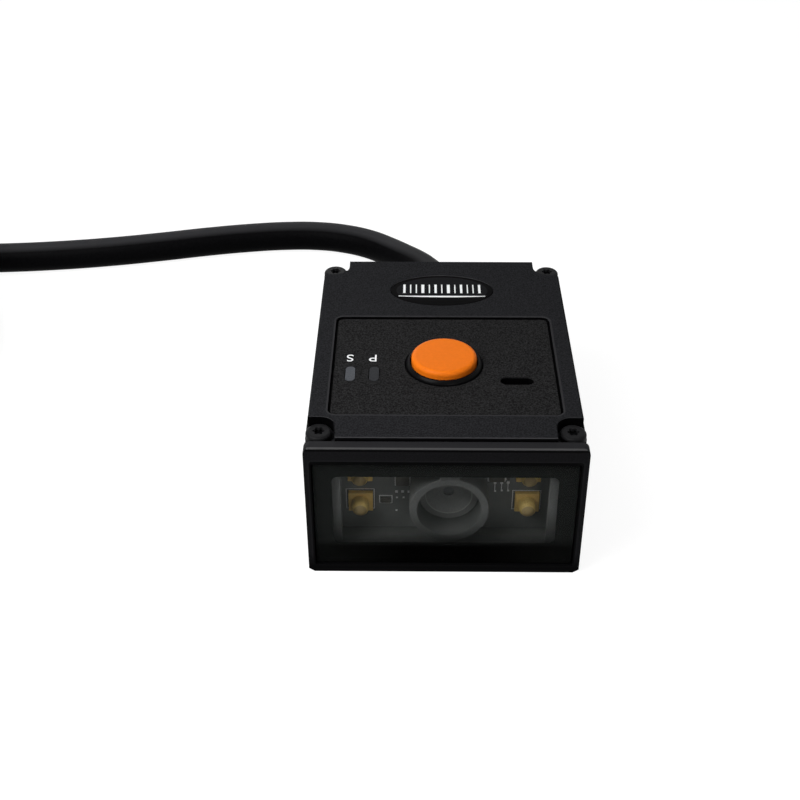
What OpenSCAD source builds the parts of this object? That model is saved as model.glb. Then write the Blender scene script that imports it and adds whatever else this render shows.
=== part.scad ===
// Fixed barcode reader: a small hollow housing with a front window, a screwed lid with a push button,
// the camera and its lights behind the window, and a cable that leaves at the rear.
// Millimetres, +Z up, origin at the centre of the base, window towards -Y.

/* [Housing] */
// Width across the housing
body_w = 41.5; // [41:0.5:52]
// Depth from the front frame to the rear wall
body_d = 54.5; // [53.5:0.5:70]
// Height of the front frame
frame_h = 23.8; // [23.6:0.2:30]
// Thickness of the side and rear walls
wall_t = 1.8; // [1.5:0.1:2.1]
// Thickness of the base
base_t = 2.2; // [1.8:0.1:2.4]
// Thickness of the strip that stands in front of the lid
strip_t = 1.85; // [1.7:0.05:2.2]
// Thickness of the ledge that the window is bonded to
ledge_t = 1.4; // [1:0.1:1.6]
// Radius of the two rear corners
rear_corner_r = 1.5; // [0.6:0.1:2]
// Radius of the two upper corners of the front frame
frame_corner_r = 1; // [0.4:0.1:1.6]
// Width of the chamfer along the lower side edges
base_chamfer_w = 0.9; // [0.3:0.1:1.2]
// Height of the chamfer along the lower side edges
base_chamfer_h = 0.6; // [0.3:0.1:1.2]

/* [Lid] */
// Height of the lid's top above the front strip
lid_rise = 0.5; // [0.2:0.1:0.8]
// Height of the lid's edge above the side walls
lid_edge_h = 2.3; // [2.1:0.1:2.6]
// Thickness of the lid's plate
lid_t = 1.8; // [1.5:0.1:2]
// Step from the housing's walls in to the lid's edge
lid_inset = 0.3; // [0.1:0.05:0.5]
// Gap between the front strip and the lid
lid_gap = 0.15; // [0.1:0.05:0.3]
// Width of the chamfer around the lid's upper edge
lid_chamfer = 0.3; // [0.1:0.05:0.45]
// Depth of the tongue that locates the lid inside the walls
tongue_h = 1.2; // [0.8:0.1:1.4]
// Thickness of the tongue
tongue_t = 1; // [0.8:0.1:1.2]

/* [Lid screws] */
// Distance of the screw axes from the housing's sides
screw_from_side = 2.07; // [2:0.01:2.3]
// Distance of the front screw axes from the front face
screw_from_front = 4.8; // [4.6:0.1:5]
// Distance of the rear screw axes from the rear face
screw_from_rear = 2.6; // [2.4:0.1:3]
// Diameter of the screw heads
screw_head_d = 3.95; // [3.4:0.05:4]
// Height of the screw heads
screw_head_h = 1.2; // [1:0.1:1.3]
// Depth of the screw heads' tops below the lid's top
screw_sink = 0.8; // [0.5:0.1:0.85]
// Diameter of the screw shanks
screw_d = 1.9; // [1.6:0.1:2.2]
// Length of the screw shanks
screw_len = 8; // [5:0.5:12]
// Distance from the screw axes to the walls of their notches
notch_r = 2.5; // [2.3:0.05:2.6]
// Diameter of the lugs under the notches
lug_d = 4.1; // [3.8:0.1:4.1]
// Depth of the lugs below the notch floor
lug_h = 1.4; // [1.1:0.1:1.8]
// Diameter of the corner posts that take the screws
post_d = 5.2; // [5:0.1:5.4]

/* [Top panel] */
// Distance of the panel's front edge from the front face
panel_from_front = 7.8; // [7.6:0.1:8.4]
// Length of the panel from front to rear
panel_d = 27.6; // [26.5:0.1:28]
// Margin between the panel and the lid's sides
panel_margin = 2.85; // [2.5:0.05:3.2]
// Depth of the panel's recess in the lid
panel_recess = 0.6; // [0.4:0.05:0.8]
// Thickness of the panel
panel_t = 0.3; // [0.2:0.05:0.35]
// Radius of the panel's corners
panel_corner_r = 1.3; // [0.8:0.1:2]
// Length of the oval badge
badge_l = 17.5; // [14:0.1:18]
// Width of the oval badge
badge_w = 10; // [8:0.1:10.4]
// Distance of the badge's centre ahead of the middle of the field behind the panel
badge_ahead = 0.8; // [0:0.1:1]
// Thickness of the badge
badge_t = 0.4; // [0.3:0.05:0.6]

/* [Push button] */
// Distance of the button's axis from the front face
button_from_front = 21.7; // [21:0.1:22.2]
// Diameter of the button's cap
button_d = 10.3; // [9:0.1:10.5]
// Height of the cap above the lid's top
button_rise = 1.5; // [1.2:0.1:1.8]
// Radius of the cap's upper edge
button_edge_r = 0.7; // [0.3:0.1:0.9]
// Travel of the button
button_travel = 0.6; // [0.3:0.1:0.8]
// Gap between the button and its collar
button_gap = 0.2; // [0.15:0.05:0.3]
// Width of the collar's ring around the cap
collar_w = 0.75; // [0.6:0.05:0.9]
// Height of the collar's lip above the panel
collar_rise = 0.65; // [0.3:0.05:0.8]

/* [Indicators] */
// Width of each light window
light_w = 1.6; // [1.2:0.1:1.8]
// Length of each light window
light_l = 4; // [3:0.1:4.4]
// Distance of the light windows' centres from the front face
light_from_front = 18.95; // [18.5:0.05:19.5]
// Distance of the first light window from the panel's side
light_from_side = 2.95; // [2.8:0.05:3.4]
// Distance between the two light windows
light_pitch = 3.72; // [3.4:0.02:4]
// Length of the sound slot
slot_l = 5.2; // [3:0.1:6]
// Width of the sound slot
slot_w = 2.1; // [1.2:0.1:2.4]
// Distance of the sound slot from the front face
slot_from_front = 17.2; // [17:0.1:18]
// Distance of the sound slot's centre from the panel's side
slot_from_side = 6.4; // [6.2:0.1:6.6]

/* [Window] */
// Width of the frame beside the window
frame_side = 1.05; // [0.9:0.05:1.3]
// Height of the frame below the window
frame_bottom = 1.4; // [1.2:0.1:1.8]
// Height of the frame above the window
frame_top = 2.9; // [2.8:0.1:3.6]
// Depth of the pane behind the front face
pane_recess = 0.35; // [0.1:0.05:0.5]
// Thickness of the pane
pane_t = 1; // [0.8:0.1:1.2]
// Width of the gasket beside the clear opening
mask_side = 2.85; // [2.4:0.05:3.2]
// Height of the gasket below the clear opening
mask_bottom = 2.95; // [2.4:0.05:3.2]
// Height of the gasket above the clear opening
mask_top = 3.3; // [2.8:0.1:3.8]
// Radius of the clear opening's corners
mask_corner_r = 1; // [0.4:0.1:1.6]

/* [Camera] */
// Offset of the lens axis to the right of the middle
lens_x = 0.7; // [-0.5:0.1:1.5]
// Height of the lens axis
lens_z = 10.3; // [10:0.1:11]
// Depth of the hood's rim behind the front face
hood_from_front = 2.4; // [2.1:0.1:3]
// Outer diameter of the hood
hood_d = 12.1; // [11.4:0.1:12.4]
// Inner diameter of the hood
hood_bore = 9.7; // [9.5:0.1:10]
// Width of the frame that shows at the sides of the clear opening
bezel_w = 1.3; // [1:0.1:1.6]
// Width of the fin on top of the hood
fin_w = 3; // [2:0.1:4]
// Diameter of the lens barrel
barrel_d = 9.1; // [8.8:0.1:9.2]
// Depth of the barrel's front behind the hood's rim
barrel_sink = 3.6; // [3:0.1:4.2]
// Diameter of the lens stop
stop_d = 1.7; // [1:0.1:2.4]
// Depth of the light board's face behind the front face
light_board_from_front = 7.8; // [7.6:0.1:8.2]
// Distance of the lamps from the middle, to each side
lamp_x = 12.9; // [12.4:0.1:13.2]
// Height of the lower lamps
lower_lamp_z = 8; // [7:0.1:8.5]
// Height of the upper lamps
upper_lamp_z = 13.9; // [12.5:0.1:14.5]
// Width of a lamp's base
lamp_w = 3.8; // [3:0.1:4]
// Height of a lamp's base
lamp_h = 3.5; // [3:0.1:4]
// Diameter of a lamp's dome
dome_d = 2.7; // [2.2:0.1:2.9]

/* [Boards] */
// Thickness of the circuit boards
board_t = 1.1; // [0.8:0.1:1.2]
// Height of the main board's posts above the base
main_post_h = 2.2; // [2:0.1:2.4]
// Distance from the camera's rear board to the main board
main_board_gap = 4.1; // [3.6:0.1:5]
// Width of the main board
main_board_w = 33; // [28:0.5:34]

/* [Mounting holes] */
// Distance between the mounting holes across the base
mount_x = 26; // [22:0.5:27]
// Distance of the front mounting holes from the front face
mount_from_front = 15; // [14.8:0.1:15.4]
// Distance of the rear mounting holes from the rear face
mount_from_rear = 5.5; // [5.3:0.1:6]
// Bore of the threaded inserts
insert_bore = 2.5; // [2:0.1:2.6]
// Outer diameter of the threaded inserts
insert_d = 4.2; // [3.8:0.1:4.4]
// Length of the threaded inserts
insert_len = 4; // [3:0.1:4.2]

/* [Cable] */
// Diameter of the cable
cable_d = 6.2; // [5:0.1:6.6]
// Height of the cable's exit above the base
exit_z = 7; // [6.9:0.1:8]
// Diameter of the strain relief at the rear wall
relief_d = 9.2; // [8.4:0.1:9.4]
// Diameter of the strain relief's thin end
relief_end_d = 7; // [6.6:0.1:7.4]
// Number of rings along the strain relief
relief_rings = 5; // [3:1:6]

/* [Hidden] */
$fn = 64;

// Small clearances and margins
fit = 0.1;
slip = 0.15;
eps = 0.01;
over = 1;

// Levels and planes of the housing
front_y = -body_d / 2;
rear_y = body_d / 2;
lid_top = frame_h + lid_rise;
rim_z = lid_top - lid_edge_h;
lid_under = lid_top - lid_t;
front_wall_t = strip_t + ledge_t;
cavity_w = body_w - 2 * wall_t;
cavity_front = front_y + front_wall_t;
cavity_rear = rear_y - wall_t;

// Lid outline and screws
lid_w = body_w - 2 * lid_inset;
lid_front = front_y + strip_t + lid_gap;
lid_rear = rear_y - lid_inset;
screw_x = body_w / 2 - screw_from_side;
screw_ys = [front_y + screw_from_front, rear_y - screw_from_rear];
notch_z = lid_top - screw_sink - screw_head_h;
lug_bottom = notch_z - lug_h;
shank_fit = 0.05;

// Top panel
panel_w = lid_w - 2 * panel_margin;
panel_y0 = front_y + panel_from_front;
panel_z = lid_top - panel_recess;
panel_top = panel_z + panel_t;
panel_gap = 0.4;
badge_y = (panel_y0 + panel_d + lid_rear) / 2 - badge_ahead;
badge_sink = 0.05;

// Button and what it presses
button_y = front_y + button_from_front;
button_top = lid_top + button_rise;
collar_bore = button_d / 2 + button_gap;
collar_r = collar_bore + collar_w;
collar_top = panel_top + collar_rise;
button_hole_r = collar_r + fit;
collar_flange_r = collar_r + 0.7;
collar_flange_t = 1;
collar_under = lid_under - collar_flange_t;
button_flange_t = 0.9;
button_flange_r = collar_bore + 0.55;
button_flange_top = collar_under - slip;
button_stem_r = 1.6;
button_stem_h = 0.5;
stem_bottom = button_flange_top - button_flange_t - button_stem_h;
plunger_top = stem_bottom - button_travel - slip;
plunger_h = 0.5;
switch_h = 2;
switch_w = 6;
panel_board_top = plunger_top - plunger_h - switch_h;
panel_board_z = panel_board_top - board_t;

// Indicators
light_y = front_y + light_from_front;
status_x = -panel_w / 2 + light_from_side;
power_x = status_x + light_pitch;
slot_x = panel_w / 2 - slot_from_side;
slot_y = front_y + slot_from_front;
panel_lamp_h = 0.8;
buzzer_w = 8.5;
buzzer_h = 2.6;
buzzer_y = slot_y + 2.2;

// Panel board, hung from four bosses under the lid
panel_board_w = panel_w - 2;
panel_board_ahead = 10.1;
panel_board_behind = 9.4;
panel_board_y0 = button_y - panel_board_ahead;
panel_board_y1 = button_y + panel_board_behind;
boss_r = 1.5;
boss_in = 2;
front_boss_x = 8.6;
rear_boss_x = panel_board_w / 2 - boss_in;
boss_places = [for (sx = [-1, 1])
    each [[sx * front_boss_x, panel_board_y0 + boss_in], [sx * rear_boss_x, panel_board_y1 - boss_in]]];
panel_ribbon_w = 8;
panel_ribbon_from_side = 4.1;
panel_ribbon_from_rear = 1.2;
panel_ribbon_x = panel_board_w / 2 - panel_ribbon_from_side - panel_ribbon_w;
panel_ribbon_y = panel_board_y1 - panel_ribbon_from_rear;
panel_ribbon_foot = 2;
small_screw_r = 0.7;
small_head_r = 1.3;
small_head_h = 0.7;
small_screw_len = 3;

// Window
pocket_w = body_w - 2 * frame_side;
pocket_z0 = frame_bottom;
pocket_z1 = frame_h - frame_top;
pocket_depth = strip_t;
gasket_t = pocket_depth - pane_recess - pane_t;
opening_w = pocket_w - 2 * mask_side;
opening_z0 = pocket_z0 + mask_bottom;
opening_z1 = pocket_z1 - mask_top;
ledge_margin = 0.9;

// Mounting inserts
mount_places = [for (sx = [-1, 1], y = [front_y + mount_from_front, rear_y - mount_from_rear])
    [sx * mount_x / 2, y]];
insert_boss_r = insert_d / 2 + 1.1;
insert_relief = 0.6;
insert_boss_h = insert_len + 2 * insert_relief;

// Camera planes, from the front backwards
hood_y = front_y + hood_from_front;
light_board_y = front_y + light_board_from_front;
engine_y = light_board_y + board_t;
engine_t = 2.5;
engine_rear = engine_y + engine_t;
barrel_y = hood_y + barrel_sink;
barrel_len = 8.5;
barrel_rear = barrel_y + barrel_len;
shroud_w = 12;
shroud_h = 10.6;
sensor_t = 0.9;
sensor_w = 6.4;
sensor_h = 5;
sensor_gap = 0.4;
sensor_board_y = barrel_rear + sensor_gap + sensor_t;
sensor_board_w = 24;
sensor_board_z0 = insert_boss_h + 0.3;
sensor_board_z1 = panel_board_z - 0.6;
standoff_x = 9.5;
standoff_r = 1.5;
stop_y = barrel_y + 1;
lens_y = stop_y + 0.5;
lens_r = 2.35;
lens_t = 1.6;
lens_pitch = 3.4;

// Slots in the side walls that hold the camera's frame
rib_depth = 1.4;
rib_t = 1;
engine_w = cavity_w - 2 * slip;
engine_z1 = rim_z - tongue_h - 0.5;
rib_z1 = engine_z1;
light_board_w = cavity_w - 2 * rib_depth - 2 * slip;
light_board_z0 = base_t + slip;
light_board_z1 = engine_z1 - 0.8;
bezel_y = front_y + pocket_depth + 3 * slip;
bezel_t = cavity_front - slip - bezel_y;
bezel_z0 = opening_z0 - ledge_margin + slip;
bezel_z1 = opening_z1 + ledge_margin - slip;
lamp_base_t = 0.8;
lamp_places = [for (sx = [-1, 1], z = [lower_lamp_z, upper_lamp_z]) [sx * lamp_x, z]];
light_screw_in = 1.5;
light_screw_out = 8.2;
light_screw_z = light_board_z1 - light_screw_in;

// Main board
main_board_z = base_t + main_post_h;
main_board_top = main_board_z + board_t;
main_board_y0 = sensor_board_y + board_t + main_board_gap;
main_board_y1 = rear_y - mount_from_rear - insert_boss_r - 2 * slip;
main_board_y = (main_board_y0 + main_board_y1) / 2;
ribbon_t = 0.3;
main_post_r = 1.8;
main_post_in = 2;
processor_w = 11;
processor_h = 1.2;
memory_w = 8;
memory_d = 6;
memory_h = 1;
main_posts = [for (sx = [-1, 1], y = [main_board_y0 + main_post_in, main_board_y1 - main_post_in])
    [sx * (main_board_w / 2 - main_post_in), y]];

// Strain relief and the wires inside
relief_tip_y = 45;
gland_r = 4;
gland_flange_r = 4.6;
gland_flange_t = 1.6;
wire_r = 0.5;
wire_pitch = 1.3;
wire_count = 5;
socket_l = 4;
socket_h = 3;
socket_t = 0.8;
socket_w = wire_count * wire_pitch + 2;
cable_plug_l = 2.4;
cable_plug_h = 2.2;
cable_plug_out = 0.6;
wire_z = exit_z;

// Route of the cable over the floor, from the strain relief to the coil:
// x, y, and the share of the exit's height that is left
cord_route = [
    [0, relief_tip_y, 1], [-0.2, 48.5, 0.95], [-0.9, 52.5, 0.77], [-2.2, 57, 0.51], [-4.2, 61.2, 0.28],
    [-7, 65.2, 0.1], [-10.4, 69, 0], [-14.6, 72.2, 0], [-20, 74.6, 0], [-26, 75.8, 0], [-33, 75.8, 0],
    [-41, 74.8, 0], [-50, 73, 0], [-59, 70.8, 0], [-69, 68.6, 0], [-80, 66.8, 0],
    [-92, 65.6, 0], [-104, 65.1, 0], [-117, 65, 0], [-130, 65, 0]
];
cable_sides = 12;
floor_z = cable_d / 2;

// Coil of the spare length, its tie and the plug that lies on it
coil_x = -130;
coil_y = 24.6;
coil_turns_across = 3;
coil_layers = 2;
outer_turn_r = 40.4;
coil_r_out = outer_turn_r + cable_d / 2;
coil_r_in = coil_r_out - coil_turns_across * cable_d;
coil_h = coil_layers * cable_d;
coil_edge_r = 2;
tie_t = 0.7;
tie_w = 8;
tie_slack = 0.4;
plug_from_coil = 34;
plug_x = coil_x - plug_from_coil;
plug_w = 15.6;
plug_h = 8;
plug_z = coil_h + plug_h / 2;
plug_neck_l = 9;
plug_body_l = 20;
plug_edge_r = 1.6;
plug_tip_y = 32.6;
shell_w = 12;
shell_h = 4.5;
shell_t = 0.35;
shell_l = 12;
shell_back_t = 0.6;
shell_y = plug_tip_y - plug_neck_l - plug_body_l;

// Route of the cable's end over the top of the coil to the plug: x, y, and the share of the climb
tail_route = [
    [-130, 65, 0], [-139, 64, 0.1], [-147.5, 60.6, 0.35], [-154.6, 55.2, 0.66], [-160, 48, 0.89],
    [-163, 40, 0.99], [plug_x, plug_tip_y, 1]
];
tail_z = coil_h + cable_d / 2;

// Colours as the object shows them
matt_black = [0.13, 0.13, 0.135];
panel_black = [0.15, 0.15, 0.155];
gloss_black = [0.05, 0.05, 0.055];
orange = [0.94, 0.47, 0.12];
board_black = [0.16, 0.17, 0.165];
gold = [0.72, 0.52, 0.2];
steel = [0.72, 0.73, 0.75];
ribbon_amber = [0.75, 0.55, 0.25];
chip_black = [0.08, 0.08, 0.08];

// Shared shapes
module corner_cut(r) {
    difference() {
        translate([-eps, -eps]) square(r + eps);
        translate([r, r]) circle(r);
    }
}

module rounded(w, d, r) {
    difference() {
        translate([-w / 2, -d / 2]) square([w, d]);
        for (a = [0 : 3]) {
            sx = a == 0 || a == 3 ? -1 : 1;
            sy = a < 2 ? -1 : 1;
            translate([sx * w / 2, sy * d / 2]) rotate(a * 90) corner_cut(r);
        }
    }
}

module stadium(l, w) {
    square([l - w, w], center = true);
    for (s = [-1, 1]) translate([s * (l - w) / 2, 0]) circle(w / 2);
}

module oval(l, w) {
    polygon([for (i = [0 : 59]) [l / 2 * cos(6 * i), w / 2 * sin(6 * i)]]);
}

// Extrudes an outline drawn in X and Z along +Y, starting at y
module along_y(y, length) {
    translate([0, y + length, 0]) rotate([90, 0, 0]) linear_extrude(length) children();
}

// A cylinder along +Y that starts at y
module rod_y(y, length, r) {
    translate([0, y, 0]) rotate([-90, 0, 0]) cylinder(h = length, r = r);
}

module block(x0, x1, y0, y1, z0, z1) {
    translate([x0, y0, z0]) cube([x1 - x0, y1 - y0, z1 - z0]);
}

// A small pan-head screw that points down from the origin
module small_screw() {
    difference() {
        cylinder(h = small_head_h, r = small_head_r);
        translate([0, 0, small_head_h - 0.4]) cross_recess(1.5, 0.35, 0.5);
    }
    translate([0, 0, -small_screw_len]) cylinder(h = small_screw_len + eps, r = small_screw_r);
}

module cross_recess(l, w, h) {
    for (a = [0, 90]) rotate(a) translate([-l / 2, -w / 2, 0]) cube([l, w, h]);
}

module at_screws() {
    for (sx = [-1, 1], y = screw_ys) translate([sx * screw_x, y, 0]) children();
}

// Outline of the housing's base, with its rear corners rounded
module body_outline() {
    difference() {
        translate([-body_w / 2, front_y]) square([body_w, body_d]);
        translate([-body_w / 2, rear_y]) rotate(-90) corner_cut(rear_corner_r);
        translate([body_w / 2, rear_y]) rotate(180) corner_cut(rear_corner_r);
    }
}

// Section of the housing across its width, with the lower edges chamfered
module body_section(top) {
    polygon([
        [-body_w / 2 + base_chamfer_w, 0], [body_w / 2 - base_chamfer_w, 0], [body_w / 2, base_chamfer_h],
        [body_w / 2, top], [-body_w / 2, top], [-body_w / 2, base_chamfer_h]
    ]);
}

module strip_section() {
    difference() {
        body_section(frame_h);
        translate([-body_w / 2, frame_h]) rotate(-90) corner_cut(frame_corner_r);
        translate([body_w / 2, frame_h]) rotate(180) corner_cut(frame_corner_r);
    }
}

// Hollow of the housing, less the posts, ribs and bosses that stand in it
module hollow() {
    difference() {
        block(-cavity_w / 2, cavity_w / 2, cavity_front, cavity_rear, base_t, rim_z + over);
        at_screws() cylinder(h = rim_z, d = post_d);
        for (sx = [-1, 1]) {
            for (y = [light_board_y - rib_t + board_t, engine_rear + slip]) {
                translate([sx * (cavity_w / 2 - rib_depth / 2), y + rib_t / 2, rib_z1 / 2])
                    cube([rib_depth + 2 * eps, rib_t, rib_z1], center = true);
            }
        }
        for (p = main_posts) translate(p) cylinder(h = main_board_z, r = main_post_r);
        for (p = mount_places) translate(p) cylinder(h = insert_boss_h, r = insert_boss_r);
    }
}

module housing() {
    color(matt_black)
    difference() {
        union() {
            intersection() {
                along_y(front_y, body_d) body_section(rim_z);
                linear_extrude(rim_z + over) body_outline();
            }
            along_y(front_y, strip_t) strip_section();
        }
        hollow();
        block(-pocket_w / 2, pocket_w / 2, front_y - over, front_y + pocket_depth, pocket_z0, pocket_z1);
        block(-opening_w / 2 - ledge_margin, opening_w / 2 + ledge_margin, front_y, cavity_front + eps,
            opening_z0 - ledge_margin, opening_z1 + ledge_margin);
        at_screws() {
            translate([0, 0, lug_bottom]) cylinder(h = rim_z, d = lug_d + 2 * slip);
            translate([0, 0, lug_bottom - screw_len])
                cylinder(h = screw_len + eps, r = screw_d / 2 + shank_fit);
        }
        translate([0, 0, exit_z]) rod_y(cavity_rear - over, wall_t + 2 * over, gland_r + fit);
        for (p = mount_places) translate([p.x, p.y, -over]) cylinder(h = insert_len + over, d = insert_d);
        for (p = mount_places) translate(p) cylinder(h = insert_len + insert_relief, d = insert_bore);
        for (p = main_posts) translate([p.x, p.y, main_board_top - small_screw_len])
            cylinder(h = small_screw_len, r = small_screw_r + shank_fit);
    }
}

// Knurled brass sleeves with a threaded bore, flush with the base
module mount_inserts() {
    groove_h = 0.4;
    groove_t = 0.25;
    color(gold)
    for (p = mount_places) translate(p) difference() {
        cylinder(h = insert_len, d = insert_d);
        translate([0, 0, -over]) cylinder(h = insert_len + 2 * over, d = insert_bore);
        for (share = [1, 2]) translate([0, 0, share * insert_len / 3]) difference() {
            cylinder(h = groove_h, d = insert_d + over);
            translate([0, 0, -eps]) cylinder(h = groove_h + 2 * eps, d = insert_d - 2 * groove_t);
        }
    }
}

module window_gasket() {
    w = pocket_w - 2 * slip;
    z0 = pocket_z0 + slip;
    z1 = pocket_z1 - slip;
    color(gloss_black)
    along_y(front_y + pocket_depth - gasket_t, gasket_t) difference() {
        translate([-w / 2, z0]) square([w, z1 - z0]);
        translate([0, (opening_z0 + opening_z1) / 2])
            rounded(opening_w, opening_z1 - opening_z0, mask_corner_r);
    }
}

module front_window() {
    w = pocket_w - 2 * slip;
    h = pocket_z1 - pocket_z0 - 2 * slip;
    pane_corner_r = 0.4;
    color([0.25, 0.27, 0.27, 0.35])
    along_y(front_y + pane_recess, pane_t) translate([0, (pocket_z0 + pocket_z1) / 2])
        rounded(w, h, pane_corner_r);
}

// Outline of the lid, with a small radius at each corner
module lid_outline() {
    lid_corner_r = 0.5;
    translate([0, (lid_front + lid_rear) / 2]) rounded(lid_w, lid_rear - lid_front, lid_corner_r);
}

// Notch around one screw, open to the side and to the nearer end
module notch(sx, sy) {
    reach = screw_from_front + screw_from_rear;
    h = lid_t + over;
    translate([0, 0, notch_z]) {
        cylinder(h = h, r = notch_r);
        translate([sx > 0 ? 0 : -reach, -notch_r, 0]) cube([reach, 2 * notch_r, h]);
        translate([sx > 0 ? -notch_r : -reach, sy > 0 ? 0 : -reach, 0]) cube([reach + notch_r, reach, h]);
    }
}

// Hollow under the lid's plate, clear of the four corners
module lid_hollow() {
    corner = post_d / 2 + slip;
    inner_w = 2 * (screw_x - corner);
    block(-inner_w / 2, inner_w / 2, cavity_front, cavity_rear, rim_z - over, lid_under);
    block(-cavity_w / 2, cavity_w / 2, screw_ys[0] + corner, screw_ys[1] - corner, rim_z - over, lid_under);
}

// Tongues along the sides and the rear, a slip inside the walls
module lid_tongues() {
    corner = post_d / 2 + 2 * slip;
    for (sx = [-1, 1]) {
        x = sx * (cavity_w / 2 - slip - tongue_t / 2);
        block(x - tongue_t / 2, x + tongue_t / 2, screw_ys[0] + corner, screw_ys[1] - corner,
            rim_z - tongue_h, lid_under + eps);
    }
    block(-screw_x + corner, screw_x - corner, cavity_rear - slip - tongue_t, cavity_rear - slip,
        rim_z - tongue_h, lid_under + eps);
}

// Chamfer along the lid's straight upper edges, as wedges to cut away
module lid_edge_cuts() {
    side = lid_chamfer * sqrt(2);
    length = body_d + over;
    for (sx = [-1, 1]) translate([sx * lid_w / 2, 0, lid_top]) rotate([0, 45, 0])
        cube([side, length, side], center = true);
    translate([0, lid_rear, lid_top]) rotate([45, 0, 0]) cube([length, side, side], center = true);
    translate([0, lid_front, lid_top]) rotate([45, 0, 0]) cube([length, side, side], center = true);
}

module panel_openings(gap) {
    translate([0, button_y]) circle(button_hole_r);
    for (x = [status_x, power_x]) translate([x, light_y]) rotate(90) stadium(light_l + gap, light_w + gap);
    translate([slot_x, slot_y]) stadium(slot_l, slot_w);
}

module top_cover() {
    color(matt_black)
    difference() {
        union() {
            difference() {
                translate([0, 0, rim_z]) linear_extrude(lid_edge_h) lid_outline();
                lid_hollow();
            }
            at_screws() translate([0, 0, lug_bottom]) cylinder(h = notch_z - lug_bottom, d = lug_d);
            lid_tongues();
            for (p = boss_places) translate([p.x, p.y, panel_board_top])
                cylinder(h = lid_under - panel_board_top + eps, r = boss_r);
        }
        for (sx = [-1, 1], y = screw_ys) translate([sx * screw_x, y, 0]) notch(sx, sign(y));
        at_screws() translate([0, 0, lug_bottom - over])
            cylinder(h = lug_h + 2 * over, r = screw_d / 2 + slip);
        lid_edge_cuts();
        translate([0, panel_y0 + panel_d / 2, panel_z]) linear_extrude(panel_recess + over)
            rounded(panel_w, panel_d, panel_corner_r);
        translate([0, 0, lid_under - over]) linear_extrude(lid_t + 2 * over) panel_openings(fit);
        translate([0, badge_y, lid_top - badge_t - badge_sink]) linear_extrude(badge_t + over)
            oval(badge_l + 2 * fit, badge_w + 2 * fit);
        for (p = boss_places) translate([p.x, p.y, panel_board_top - eps])
            cylinder(h = small_screw_len - board_t + slip, r = small_screw_r + shank_fit);
    }
}

// Low pan heads with a six-lobed drive
module cover_screws() {
    lobe_r = 0.24;
    lobe_at = 0.68;
    drive_h = 0.7;
    head_r = screw_head_d / 2;
    edge_r = screw_head_h * 0.4;
    color(gloss_black)
    at_screws() translate([0, 0, notch_z]) {
        difference() {
            rotate_extrude() {
                square([head_r, screw_head_h - edge_r]);
                square([head_r - edge_r, screw_head_h]);
                intersection() {
                    translate([head_r - edge_r, screw_head_h - edge_r]) circle(edge_r);
                    square([head_r, screw_head_h]);
                }
            }
            translate([0, 0, screw_head_h - drive_h]) {
                cylinder(h = drive_h + over, r = lobe_at);
                for (a = [0 : 60 : 300]) rotate(a) translate([lobe_at, 0, 0])
                    cylinder(h = drive_h + over, r = lobe_r);
            }
        }
        translate([0, 0, -screw_len]) cylinder(h = screw_len + eps, d = screw_d);
    }
}

module panel_overlay() {
    color(panel_black)
    translate([0, 0, panel_z]) linear_extrude(panel_t) difference() {
        translate([0, panel_y0 + panel_d / 2])
            rounded(panel_w - 2 * panel_gap, panel_d - 2 * panel_gap, panel_corner_r - panel_gap);
        panel_openings(fit);
    }
}

module badge_plate() {
    color(gloss_black)
    translate([0, badge_y, lid_top - badge_t - badge_sink]) linear_extrude(badge_t) oval(badge_l, badge_w);
}

// Ring that guides the button, with a flange under the lid and a lip that rises to the cap
module button_collar() {
    lip_w = 0.3;
    color(gloss_black)
    translate([0, button_y, 0]) rotate_extrude() polygon([
        [collar_bore, collar_under], [collar_flange_r, collar_under], [collar_flange_r, lid_under],
        [collar_r, lid_under], [collar_r, panel_top], [collar_bore + lip_w, collar_top],
        [collar_bore, collar_top]
    ]);
}

// Cap with a rounded edge, a flange that holds it under the collar, and a stem
module trigger_button() {
    r = button_d / 2;
    z0 = button_flange_top - button_flange_t;
    color(orange)
    translate([0, button_y, 0]) rotate_extrude() {
        translate([0, z0]) square([r, button_top - button_edge_r - z0]);
        translate([0, z0]) square([r - button_edge_r, button_top - z0]);
        intersection() {
            translate([r - button_edge_r, button_top - button_edge_r]) circle(button_edge_r);
            translate([0, z0]) square([r, button_top - z0]);
        }
        translate([0, z0]) square([button_flange_r, button_flange_t]);
        translate([0, stem_bottom]) square([button_stem_r, button_stem_h + eps]);
    }
}

// Light pipe from its lamp to the panel's face
module light_pipe(x) {
    z0 = panel_board_top + panel_lamp_h;
    translate([x, light_y, z0]) linear_extrude(panel_top - z0) rotate(90)
        stadium(light_l - fit, light_w - fit);
}

module status_light_pipe() {
    color([0.42, 0.43, 0.45]) light_pipe(status_x);
}

module power_light_pipe() {
    color([0.27, 0.27, 0.29]) light_pipe(power_x);
}

module panel_board() {
    color(board_black)
    difference() {
        block(-panel_board_w / 2, panel_board_w / 2, panel_board_y0, panel_board_y1,
            panel_board_z, panel_board_top);
        for (p = boss_places) translate([p.x, p.y, panel_board_z - over])
            cylinder(h = board_t + 2 * over, r = small_screw_r + slip);
    }
}

module panel_board_screws() {
    color(steel)
    for (p = boss_places) translate([p.x, p.y, panel_board_z]) mirror([0, 0, 1]) small_screw();
}

module button_switch() {
    foot = [1.2, 0.8, 0.3];
    foot_out = 0.5;
    foot_y = 2.2;
    plunger_r = 1.75;
    color([0.2, 0.2, 0.21])
    translate([0, button_y, panel_board_top]) {
        translate([0, 0, switch_h / 2]) cube([switch_w, switch_w, switch_h], center = true);
        cylinder(h = switch_h + plunger_h, r = plunger_r);
        for (sx = [-1, 1], sy = [-1, 1])
            translate([sx * (switch_w / 2 + foot_out), sy * foot_y, foot.z / 2]) cube(foot, center = true);
    }
}

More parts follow.
